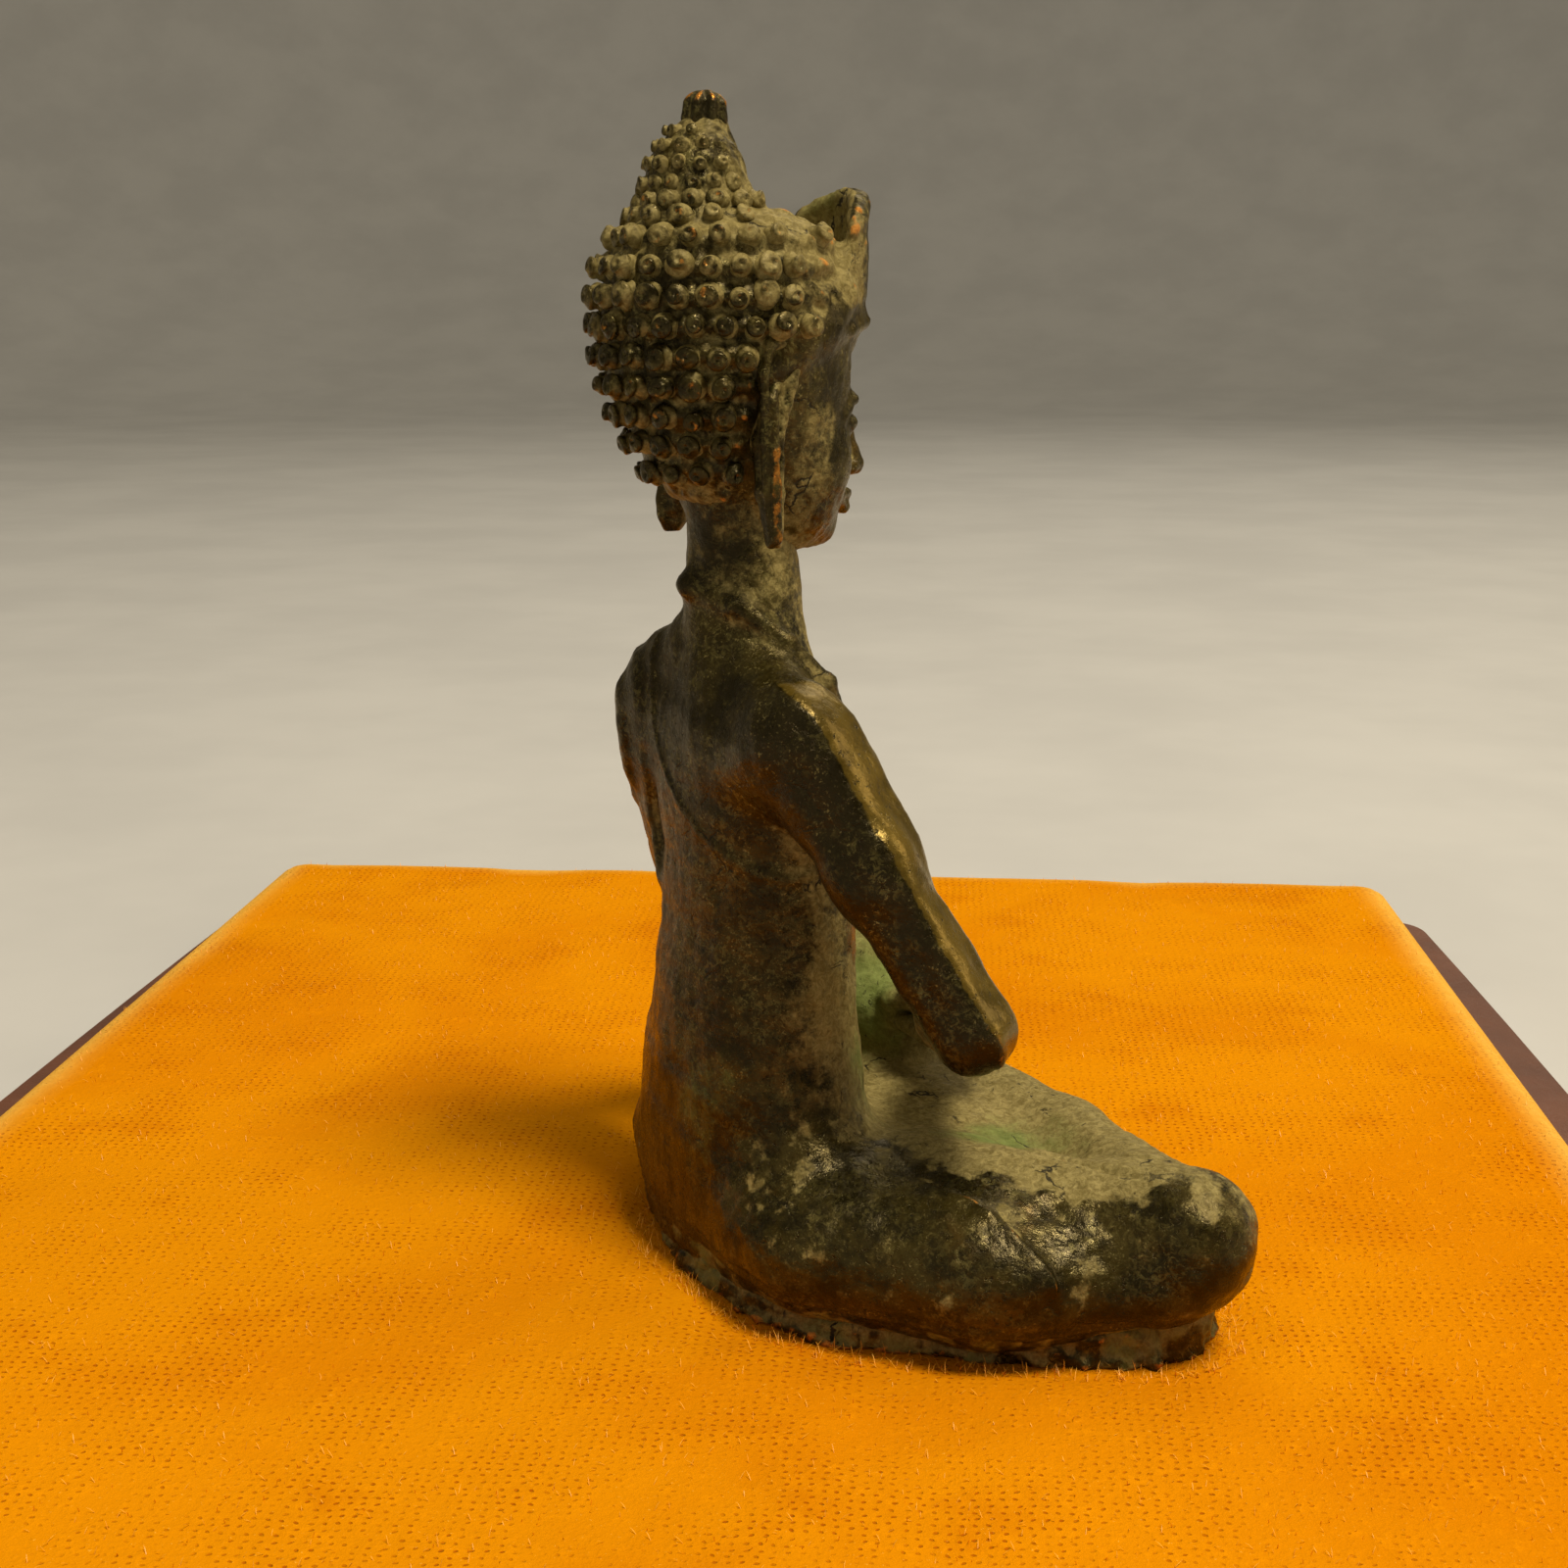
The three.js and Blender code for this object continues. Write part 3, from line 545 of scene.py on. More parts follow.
def grid_of(*axes):
    """Every place on a grid, as rows."""
    return np.stack(np.meshgrid(*axes, indexing="ij"), -1).reshape(-1, len(axes))


def sculpt(field, low, high, voxel):
    """The surface of a field, as points in mm and quads. Only blocks near the surface are worked out."""
    low = np.array(low, float)
    blocks = np.ceil((np.array(high, float) - low) / voxel / BLOCK).astype(int)
    corner = grid_of(*[np.arange(n) for n in blocks])
    middle = field((low + (corner * BLOCK + BLOCK / 2) * voxel).astype(F32))
    band = 4 * voxel
    values = np.empty(blocks * BLOCK, F32)
    # A block is near if the surface can reach its corners, with room for a field that overstates distance.
    near = np.abs(middle) < BLOCK * voxel * HALF_DIAGONAL * FIELD_SLACK
    for (i, j, k), d in zip(corner[~near] * BLOCK, middle[~near]):
        values[i:i + BLOCK, j:j + BLOCK, k:k + BLOCK] = band if d > 0 else -band
    local = grid_of(*[np.arange(BLOCK)] * 3)

    def fill(some):
        points = (low + (some[:, None, :] * BLOCK + local) * voxel).reshape(-1, 3).astype(F32)
        found = np.clip(field(points), -band, band).reshape(len(some), BLOCK, BLOCK, BLOCK)
        for (i, j, k), d in zip(some * BLOCK, found):
            values[i:i + BLOCK, j:j + BLOCK, k:k + BLOCK] = d

    wanted = corner[near]
    with ThreadPoolExecutor(THREADS) as pool:
        list(pool.map(fill, [wanted[i:i + 12] for i in range(0, len(wanted), 12)]))
    grid = openvdb.FloatGrid(background=band)
    grid.copyFromArray(values)
    grid.gridClass = openvdb.GridClass.LEVEL_SET
    points, quads = grid.convertToQuads(isovalue=0.0)
    return points * voxel + low, quads[:, ::-1]


def in_threads(field, points):
    parts = np.array_split(points, max(1, len(points) // CHUNK))
    with ThreadPoolExecutor(THREADS) as pool:
        return np.concatenate(list(pool.map(field, parts)))


def surface_facts(points, field):
    """For each point: how far it bends outwards, how shut in it is, and which way it faces."""
    p = points.astype(F32)
    sides = [in_threads(field, p + way * PROBE * axis) for axis in np.eye(3, dtype=F32) for way in (1, -1)]
    normal = np.stack([sides[0] - sides[1], sides[2] - sides[3], sides[4] - sides[5]], -1)
    normal /= np.linalg.norm(normal, axis=1, keepdims=True) + 1e-6
    bend = sum(sides) / 6 - in_threads(field, p)
    shut = np.zeros(len(p), F32)
    for far, share in ((0.8, 0.3), (2.0, 0.35), (4.5, 0.35)):
        shut += share * unit(1 - in_threads(whole_field, p + normal * far) / far)
    return np.clip(bend * 6, -1, 1), unit(shut * 1.6), normal


# ---- Materials ----


def new_object(name, data):
    made = bpy.data.objects.new(name, data)
    bpy.context.scene.collection.objects.link(made)
    return made


def set_inputs(node, **values):
    """Uniform values for a node's sockets. A _ in a name stands for a space."""
    for name, value in values.items():
        node.inputs[name.replace("_", " ")].default_value = value


class Nodes:
    """A small helper that writes node trees."""

    def __init__(self, name):
        self.material = bpy.data.materials.new(name)
        self.material.use_nodes = True
        self.tree = self.material.node_tree
        self.shader = self.tree.nodes["Principled BSDF"]
        self.where = self.add("ShaderNodeTexCoord").outputs["Object"]

    def add(self, kind, **values):
        node = self.tree.nodes.new(kind)
        for key, value in values.items():
            setattr(node, key, value)
        return node

    def put(self, value, socket):
        if isinstance(value, bpy.types.NodeSocket):
            self.tree.links.new(value, socket)
        else:
            socket.default_value = value

    def show(self, **values):
        """Sockets of the shader, by name."""
        for name, value in values.items():
            self.put(value, self.shader.inputs[name.replace("_", " ")])
        return self.material

    def fact(self, name):
        return self.add("ShaderNodeAttribute", attribute_name=name).outputs["Fac"]

    def noise(self, size_mm, detail=3, rough=0.6, warp=0.0, out="Fac"):
        node = self.add("ShaderNodeTexNoise")
        self.put(self.where, node.inputs["Vector"])
        set_inputs(node, Scale=1000 / size_mm, Detail=detail, Roughness=rough, Distortion=warp)
        return node.outputs[out]

    def wander(self, size_mm, detail, reach_mm):
        """The place of a point, pushed about by up to roughly reach_mm."""
        push = self.add("ShaderNodeVectorMath", operation="MULTIPLY_ADD")
        self.put(self.noise(size_mm, detail, 0.5, out="Color"), push.inputs[0])
        push.inputs[1].default_value = (reach_mm * MM,) * 3
        self.put(self.where, push.inputs[2])
        return push.outputs[0]

    def crack(self, size_mm, width):
        """Thin wandering lines, from the edges of distorted cells."""
        cells = self.add("ShaderNodeTexVoronoi", feature="DISTANCE_TO_EDGE")
        self.put(self.wander(2.2, 5, size_mm * 0.9), cells.inputs["Vector"])
        set_inputs(cells, Scale=1000 / size_mm)
        return self.ramp(cells.outputs["Distance"], width, width * 0.4)

    def math(self, kind, a, b=0.0, c=0.0, clamp=False):
        node = self.add("ShaderNodeMath", operation=kind, use_clamp=clamp)
        for value, socket in zip((a, b, c), node.inputs):
            self.put(value, socket)
        return node.outputs[0]

    def times(self, a, b, clamp=False):
        return self.math("MULTIPLY", a, b, clamp=clamp)

    def scaled(self, a, by, plus):
        return self.math("MULTIPLY_ADD", a, by, plus)

    def rest(self, a, clamp=False):
        return self.math("SUBTRACT", 1.0, a, clamp=clamp)

    def ramp(self, value, low, high):
        node = self.add("ShaderNodeMapRange", interpolation_type="SMOOTHSTEP")
        self.put(value, node.inputs["Value"])
        set_inputs(node, From_Min=low, From_Max=high)
        return node.outputs["Result"]

    def mix(self, share, a, b):
        node = self.add("ShaderNodeMix", data_type="RGBA")
        self.put(share, node.inputs[0])
        for value, socket in ((a, node.inputs[6]), (b, node.inputs[7])):
            self.put(value if isinstance(value, bpy.types.NodeSocket) else (*value, 1), socket)
        return node.outputs[2]

    def over(self, colour, share, strength, top):
        """A colour with another laid over it."""
        return self.mix(self.times(share, strength), colour, top)

    def bump(self, layers):
        normal = None
        for height, strength, distance_mm in layers:
            node = self.add("ShaderNodeBump")
            node.inputs["Strength"].default_value = strength
            node.inputs["Distance"].default_value = distance_mm * MM
            self.put(height, node.inputs["Height"])
            if normal:
                self.put(normal, node.inputs["Normal"])
            normal = node.outputs["Normal"]
        self.put(normal, self.shader.inputs["Normal"])


def patina():
    """Old bronze: olive-brown skin, dust in the hollows, verdigris, and copper where it is rubbed, with
    painted shade, a painted gold reflection and painted glints on the arms.
    """
    n = Nodes("aged_bronze")
    wear, grime, dust, green, polish_and_painted_gold, dark_tone_and_shade = map(n.fact, ("wear", "grime", "dust", "green", "polish_and_painted_gold", "dark_tone_and_shade"))
    dull = n.scaled(polish_and_painted_gold, -0.75, 1.0)
    broad, patches = n.noise(9, 3, 0.6, warp=0.4), n.noise(2.8, 5, 0.65)
    fine, grain = n.noise(0.75, 4, 0.7), n.noise(0.26, 3, 0.75)
    spots, pits = n.noise(0.55, 5, 0.8, warp=0.8), n.noise(0.42, 4, 0.7)
    colour = n.mix(n.ramp(patches, 0.40, 0.60), (0.0105, 0.0082, 0.0016), (0.038, 0.028, 0.0050))
    warm = n.times(n.ramp(broad, 0.52, 0.68), n.ramp(fine, 0.38, 0.60))
    colour = n.over(colour, warm, 0.6, (0.080, 0.045, 0.006))
    # Painted reflection: a warm gold colour laid on the arms' lit side, where polish is high.
    painted_gold_reflection = n.times(n.ramp(polish_and_painted_gold, 0.68, 0.98), n.scaled(n.ramp(patches, 0.35, 0.65), 0.5, 0.5))
    colour = n.mix(painted_gold_reflection, colour, (0.140, 0.092, 0.014))
    # Painted shade: the darkest brown goes on the arms' side away from the light and on surfaces facing down
    # beneath them. It also darkens the upper back and patches on the outer thighs.
    colour = n.over(colour, dark_tone_and_shade, 0.85, (0.0085, 0.0065, 0.0015))
    olive = n.times(n.ramp(spots, 0.49, 0.58), n.ramp(n.noise(4.5, 5, 0.7), 0.40, 0.58))
    colour = n.over(colour, n.times(olive, dull), 0.62, (0.135, 0.115, 0.036))
    speck = n.times(n.ramp(grain, 0.58, 0.66), n.ramp(patches, 0.42, 0.60))
    colour = n.over(colour, n.times(speck, dull), 0.7, (0.27, 0.225, 0.085))
    colour = n.over(colour, n.ramp(pits, 0.40, 0.32), 0.85, (0.006, 0.005, 0.002))
    # Dust settles in hollows and on the parts marked dusty, in ragged patches. The same beige paints glints
    # along the arms' crest.
    settle = n.scaled(grime, 0.62, n.times(dust, 0.9))
    settle = n.math("ADD", settle, n.scaled(fine, 0.8, n.times(patches, 0.75)))
    dust_and_glint_cover = n.ramp(settle, 1.12, 1.46)
    dust_and_glint_colour = n.mix(n.ramp(spots, 0.36, 0.66), (0.130, 0.100, 0.028), (0.30, 0.245, 0.095))
    colour = n.over(colour, dust_and_glint_cover, 0.9, dust_and_glint_colour)
    mossy = n.ramp(n.math("ADD", green, n.scaled(patches, 0.7, n.times(spots, 0.4))), 0.95, 1.4)
    green_colour = n.mix(n.ramp(fine, 0.3, 0.7), (0.062, 0.100, 0.014), (0.155, 0.210, 0.055))
    colour = n.over(colour, mossy, 0.85, green_colour)
    # Black cracks and scars.
    crack = n.times(n.times(n.crack(3.4, 0.028), dull), n.ramp(n.noise(4.0, 4, 0.7), 0.56, 0.62))
    scar = n.times(n.ramp(n.noise(1.5, 6, 0.8, warp=1.2), 0.61, 0.65), n.times(dull, 0.8))
    black = n.math("MAXIMUM", crack, scar)
    colour = n.mix(black, colour, (0.008, 0.007, 0.003))
    # Copper shows where the surface is rubbed.
    rubbed = n.ramp(n.math("ADD", wear, n.scaled(fine, 0.9, n.times(broad, 0.5))), 1.16, 1.40)
    copper = n.mix(n.ramp(grain, 0.3, 0.7), (0.36, 0.125, 0.018), (0.62, 0.27, 0.045))
    colour = n.over(colour, rubbed, 0.85, copper)
    clean = n.rest(n.math("MAXIMUM", dust_and_glint_cover, mossy), clamp=True)
    glint = n.ramp(n.noise(0.5, 2, 0.5), 0.54, 0.64)
    rough = n.scaled(n.times(fine, dull), 0.42, n.scaled(glint, -0.12, 0.18))
    rough = n.math("ADD", rough, n.times(n.rest(clean), 0.36), clamp=True)
    sunk = n.rest(n.math("MAXIMUM", black, n.ramp(pits, 0.40, 0.30)))
    n.bump([(patches, 0.35, 0.35), (n.times(fine, dull), 0.6, 0.18), (sunk, 0.5, 0.12), (grain, 0.45, 0.05)])
    return n.show(Base_Color=colour, Metallic=n.times(clean, n.scaled(rubbed, 0.5, 0.40)), Roughness=rough,
                  Specular_IOR_Level=0.4, Specular_Tint=(1.0, 0.84, 0.55, 1))


BRONZE = patina()

# ---- Bronze pieces ----


DUST_SPOTS = [  # strength, place and radius
    (0.5, (0.5, -1.5, 47.0), (6, 5, 5)), (0.95, (4.5, -1, 41), (3.5, 6, 4.5)),
    (0.8, (2.0, -8.8, 18), (4.0, 4, 8)), (0.9, (1.2, -2.0, 66.5), (3.4, 4.4, 3.5)),
    (0.25, (-3.5, -11, 8.5), (3.5, 3.5, 3.0)), (0.35, (8, -20, 7.5), (4, 4, 3)),
    (0.6, (2.6, -5.3, 54.5), (2.8, 2.2, 5.5)), (0.7, (4.5, -5.0, 64.0), (2.6, 1.8, 3.2)),
    (0.35, (19, -27.5, 8.5), (3, 3, 2.6)), (0.25, (-2.0, -3.5, 33), (4, 5, 4)),
]
GREEN_SPOTS = [
    (0.9, (13.5, -12, 10.5), (4.5, 4.0, 3.0)), (0.7, (14, 10, 10.5), (4, 4, 3)),
    (0.75, (12, 6, 14.5), (6, 6, 5)), (0.55, (5.5, -8.5, 15), (3, 3, 5)),
    (0.3, (-5, -4, 12), (4, 5, 7)),
]
WEAR_SPOTS = [(0.6, (12.0, -23.8, 5.0), (2.6, 2.6, 1.1)), (0.40, (0, -10.4, 32.0), (1.4, 1.6, 2.2)),
              (0.35, (9.5, -24.0, 5.6), (2.4, 2.4, 1.2))]
for at, size in (((6.0, 20.6, 19.8), 2.4), ((19.0, 27.5, 8.0), 2.6), ((0.5, 13.6, 34.0), 1.8)):
    WEAR_SPOTS += [(0.18, sided(at, side), size) for side in (-1, 1)]


def marks(points, spots):
    return sum(strength * blob(points, at, radius) for strength, at, radius in spots)


def paint(points, bend, shut, normal):
    """Where dust, green, shine and rubbed copper lie on the figure, and where shade, a gold reflection and
    glints are painted on the arms.
    """
    x, y, z = points.T
    side, up = np.abs(y), unit(normal[:, 2])
    edge = 1.6 * ripples(points, 5.0, 61) + 0.8 * ripples(points, 1.8, 62)
    rim = 1 - step(z, 2.2, 3.0)
    lap = window(z, 5.5, 8.5, 20, 26) * step(x, 3.5, 7) * step(10.8 + 1.08 * x - side + edge, -1.5, 2.5)
    lap = lap * (1 - 0.8 * blob(points, (18.5, -26.5, 8), (4.0, 4.0, 5)))
    limb = step(side, 8.5, 11.0) * step(z, 14.5, 18) * (1 - blob(points, (12, 0, 16), (6, 9, 6)))
    crest = limb * step(np.where(y < 0, arm_ridge(points, -1), arm_ridge(points, 1)), 0.965, 0.992)
    mottle = step(0.9 * ripples(points, 3.4, 71) + 0.7 * ripples(points, 1.5, 72), 0.1, 0.9)
    low_part = (1 - step(z, 12, 20)) * step(z, 2.8, 4.5) * (1 - lap)
    face = step(x, 3.4, 4.6) * window(z, 47.5, 49, 62, 63)
    dust = marks(points, DUST_SPOTS) + lap * (0.5 + 0.5 * up) + rim * (0.1 + 0.5 * step(edge, -0.6, 1.0))
    # Painted glints: a lighter line along each arm's crest, carried with the dust.
    dust = (dust + 0.3 * crest + 0.34 * mottle * low_part) * (1 - 0.7 * face)
    green = marks(points, GREEN_SPOTS) + 0.35 * rim * step(edge, -0.8, 0.8) + 0.2
    wear = unit(bend) * 0.6 + marks(points, WEAR_SPOTS) + 0.3 * step(z, 74.2, 74.9)
    wear = (wear + 0.14 * crest) * (1 - 0.7 * face)
    # Painted light on the arms: the side facing the light is found from the normal. The side away from it, and
    # surfaces facing down on the upper body, get painted shade.
    lit_side = step(normal[:, 2] * 0.55 + normal[:, 0] * 0.75, -0.12, 0.12)
    dark_tone_and_shade = unit(limb * (1 - lit_side) + 0.75 * step(-normal[:, 2], -0.02, 0.35) * step(z, 18, 24))
    dark_tone_and_shade = dark_tone_and_shade * (1 - step(z, 46, 50)) + 0.6 * window(z, 28, 34, 39, 43) * step(-x, -0.5, 2.0) * (1 - limb)
    outer_leg = blob(points, (12, -21.5, 7.5), (7, 5, 4)) + blob(points, (13, 22, 7.5), (7, 5, 4))
    dark_tone_and_shade = dark_tone_and_shade + 0.45 * outer_leg * step(edge, -0.8, 0.8)
    # Polish is highest on the arms' lit side, and there it also paints a gold reflection.
    polish_and_painted_gold = unit(limb + 0.5 * window(z, 29, 34, 40, 44) * step(-x, -1.5, 1.0)) * (0.25 + 0.75 * lit_side)
    leg_gloss = 0.66 * (1 - 0.8 * mottle) * low_part
    return {
        "dark_tone_and_shade": unit(dark_tone_and_shade),
        "polish_and_painted_gold": np.maximum(polish_and_painted_gold, np.maximum(leg_gloss, 0.22 * face)),
        "dust": unit(dust),
        "green": unit(green),
        "wear": unit(wear),
        "grime": unit(shut - 0.15 + unit(-bend) * 0.6),
    }


def add_to(facts, **amounts):
    for name, amount in amounts.items():
        facts[name] = unit(facts[name] + amount)


def piece(name, points, faces, facts, replaced, material=BRONZE, body="figure"):
    mesh = bpy.data.meshes.new(name)
    mesh.from_pydata(to_row(points).tolist() if body == "figure" else points, [], faces)
    mesh.update()
    mesh.polygons.foreach_set("use_smooth", np.ones(len(mesh.polygons), bool))
    for fact, values in facts.items():
        layer = mesh.attributes.new(fact, "FLOAT", "POINT")
        layer.data.foreach_set("value", np.asarray(values, F32))
    mesh.materials.append(material)
    made = new_object(name, mesh)
    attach(made, body)
    if replaced:
        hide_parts(*replaced)
    return made


FINE = 1.0


def cast(name, field, low, high, voxel, replaced, change=None):
    points, quads = sculpt(field, low, high, voxel * FINE)
    facts = paint(points, *surface_facts(points, field))
    if change:
        change(points, facts)
    return piece(name, points, quads.tolist(), facts, replaced)


def head_paint(points, facts):
    x, y, z = points.T
    radius = np.hypot(x - FRONTLET_CENTRE, y)
    plate = step(z, 61, 63) * step(x, 3.5, 4.5)
    inner = plate * (1 - step(radius, FRONTLET_RADIUS - 0.5, FRONTLET_RADIUS + 0.1))
    near = plate * step(radius, FRONTLET_RADIUS + 0.1, FRONTLET_RADIUS + 0.5) * step(-y, 0.5, 3.5)
    add_to(facts, grime=0.45 * hair_mask(points), green=0.3 * inner * step(z, 65, 67), dust=0.9 * inner)
    add_to(facts, wear=0.18 * near, dust=0.42 * near)


def ear_paint(points, facts):
    x, y, z = points.T
    crest = step(np.abs(y), 7.35, 7.75) * (1 - step(z, 53.5, 57))
    facts["wear"] = unit(facts["wear"] * 0.45 + 0.34 * crest)
    add_to(facts, dust=0.5 * step(x, -1.5, -1.0))


cast("body_casting", body_field, (-9, -31, 0.5), (26, 31, 53.5), 0.27,
     ["torso", "robe", "neck", "lap", "right_leg", "left_leg", "right_foot", "right_upper_arm",
      "left_upper_arm", "right_forearm", "left_forearm", "right_hand", "left_hand"])
cast("plinth_casting", plinth_field, (-8, -30, -0.6), (27, 30, 6.5), 0.26, ["plinth"])
cast("head_casting", head_field, (-10, -8.5, 45.5), (10.5, 8.5, 74.0), 0.16, ["head", "ushnisha", "frontlet"],
     head_paint)
for ear, side, near in (("right_ear", -1, -9), ("left_ear", 1, 4.5)):
    cast(ear + "_casting", lambda p: ear_field(p, side), (-3, near, 48), (2.5, near + 4.5, 61.5), 0.12,
         [ear], ear_paint)
cast("finial_casting", finial_field, (-4.5, -2.2, 70.2), (-0.4, 2.2, 75.6), 0.09, ["finial"])

# ---- Curls ----

CURL_AROUND, CURL_ALONG = 20, 18
CURL_DUST = (2.5, -4.5, 64.5), (4.5, 4, 5)


def curl_shape(radius, height, turns, start):
    """One snail curl standing on z=0: a knob with a coil wound up its side to a dimple on top."""
    u = np.linspace(0, 1, CURL_ALONG)[:, None]
    turn = np.linspace(0, 2 * math.pi, CURL_AROUND, endpoint=False)[None, :]
    wall = unit(u / 0.52)
    cap = unit((u - 0.52) / 0.48)
    coil = np.cos(2 * math.pi * turns * u - turn - start)
    reach = (1 - 0.16 * wall ** 2) * np.cos(cap * math.pi / 2) ** 0.8
    reach = reach + 0.11 * coil * (1 - cap ** 2) * unit(u * 4)
    level = 0.68 * wall + 0.32 * np.sin(cap * math.pi / 2) - 0.14 * unit((cap - 0.7) / 0.3) ** 2
    level = level + 0.05 * coil * unit(cap * 3) * (1 - cap)
    x = radius * reach * np.cos(turn)
    y = radius * reach * np.sin(turn)
    z = height * level + 0 * turn
    points = np.stack([x, y, z], -1).reshape(-1, 3)
    hollow = unit(0.5 - 0.6 * coil) * np.clip(u * 3, 0.3, 1)
    grime = unit(1.15 - 1.5 * u) + 0.35 * hollow
    return points, (grime + 0 * turn).reshape(-1), ((u + 0 * turn) * (1 - hollow)).reshape(-1)


def ring_quads(rows, around, start=0):
    """Quads between rows of points that each go once round, the first row beginning at start."""
    quads = []
    for i in range(rows - 1):
        below, above = start + i * around, start + (i + 1) * around
        for j in range(around):
            k = (j + 1) % around
            quads.append([below + j, below + k, above + k, above + j])
    return quads


CURL_FACES = ring_quads(CURL_ALONG, CURL_AROUND)
CURL_FACES.append(list(range(CURL_AROUND))[::-1])
CURL_FACES.append([(CURL_ALONG - 1) * CURL_AROUND + j for j in range(CURL_AROUND)])


def on_head(angle, level, axis):
    """Where a level line from outside meets the head, and the way its surface faces there."""
    way = np.array([math.cos(angle), math.sin(angle), 0])
    line = np.array([axis, 0, level]) + np.linspace(12, 0.5, 260)[:, None] * way
    inside = np.nonzero(head_field(line.astype(F32)) < 0)[0]
    if not len(inside):
        return None, None
    at = line[inside[0]]
    sides = np.concatenate([at + 0.5 * np.eye(3), at - 0.5 * np.eye(3)])
    f = head_field(sides.astype(F32))
    normal = (f[:3] - f[3:]).astype(float)
    return at, normal / np.linalg.norm(normal)


def curl_tier(name, rings, replaced, rng):
    """Rings of curls, each ring given as level, axis, radius, height, spacing and front limit."""
    points, faces, grime, top = [], [], [], []
    for level, axis, radius, height, spacing, front in rings:
        at, _ = on_head(math.pi, level, axis)
        girth = 2 * math.pi * np.linalg.norm(at[:2] - (axis, 0)) * 0.93
        count = max(5, int(girth / spacing))
        phase = rng.uniform(0, 1)
        for i in range(count):
            angle = 2 * math.pi * (i + phase) / count
            at, normal = on_head(angle, level + rng.normal(0, 0.07), axis)
            if at is None or at[0] > front - radius * 0.6:
                continue
            # Some curls at the right temple are worn away.
            worn_away = blob(np.array([[at[0], at[1], level]]), (2.0, -4.5, 66), (2.5, 3, 2.2))[0]
            if rng.uniform(0, 1) < 0.5 * worn_away:
                continue
            flat = np.array([math.cos(angle), math.sin(angle), 0.10])
            out = normal * 0.35 + flat * 0.65 + rng.normal(0, 0.12, 3)
            out /= np.linalg.norm(out)
            across = np.cross((0, 0, 1), out)
            across /= np.linalg.norm(across)
            upward = np.cross(out, across)
            size = rng.uniform(0.93, 1.2)
            tall = height * rng.uniform(0.8, 1.15) + 0.45
            shape, dirt, tip = curl_shape(radius * size, tall, 1.9, rng.uniform(0, 6.28))
            shape = shape * (rng.uniform(0.9, 1.12), rng.uniform(0.9, 1.12), 1.0)
            first = sum(map(len, points))
            faces += [[v + first for v in f] for f in CURL_FACES]
            points.append(at - out * 0.45 + shape @ np.stack([across, upward, out]))
            grime.append(dirt)
            top.append(tip)
    points = np.concatenate(points)
    n = len(points)
    facts = {
        "grime": unit(np.concatenate(grime) * 0.75),
        "polish_and_painted_gold": np.full(n, 0.5),
        "dark_tone_and_shade": np.full(n, 0.08),
        "wear": unit(np.concatenate(top) * 0.6 - 0.08),
        "dust": unit(0.75 * blob(points, *CURL_DUST) + 0.16 + 0.30 * step(points[:, 2], 58, 67)),
        "green": np.full(n, 0.12),
    }
    return piece(name, points, faces, facts, replaced)


rng = np.random.default_rng(7)
for row in range(HAIR_ROWS):
    level = HAIR_BOTTOM + row * HAIR_PITCH
    front = float(hairline(np.array([level]))[0]) - 0.1
    top_row = row == HAIR_ROWS - 1
    rings = [(level, HEAD_CENTRE, 0.70, 0.80 if top_row else 0.85, 1.72, front)]
    if top_row:
        rings.append((67.5, CROWN_AXIS - 0.3, 0.66, 0.75, 1.6, 1.6))
        rings.append((68.5, CROWN_AXIS - 0.4, 0.56, 0.6, 1.35, 0.4))
    curl_tier("hair_row_%d_curls" % (row + 1), rings, ["hair_row_%d" % (row + 1)], rng)
for row, level in enumerate(CROWN_LEVELS):
    rings = [(level, CROWN_AXIS - 0.5, 0.50 - 0.03 * row, 0.48, 1.12, CROWN_AXIS + 0.9 - 0.3 * row)]
    curl_tier("crown_row_%d_curls" % (row + 1), rings, ["ushnisha_row_%d" % (row + 1)], rng)

# ---- Pad ----


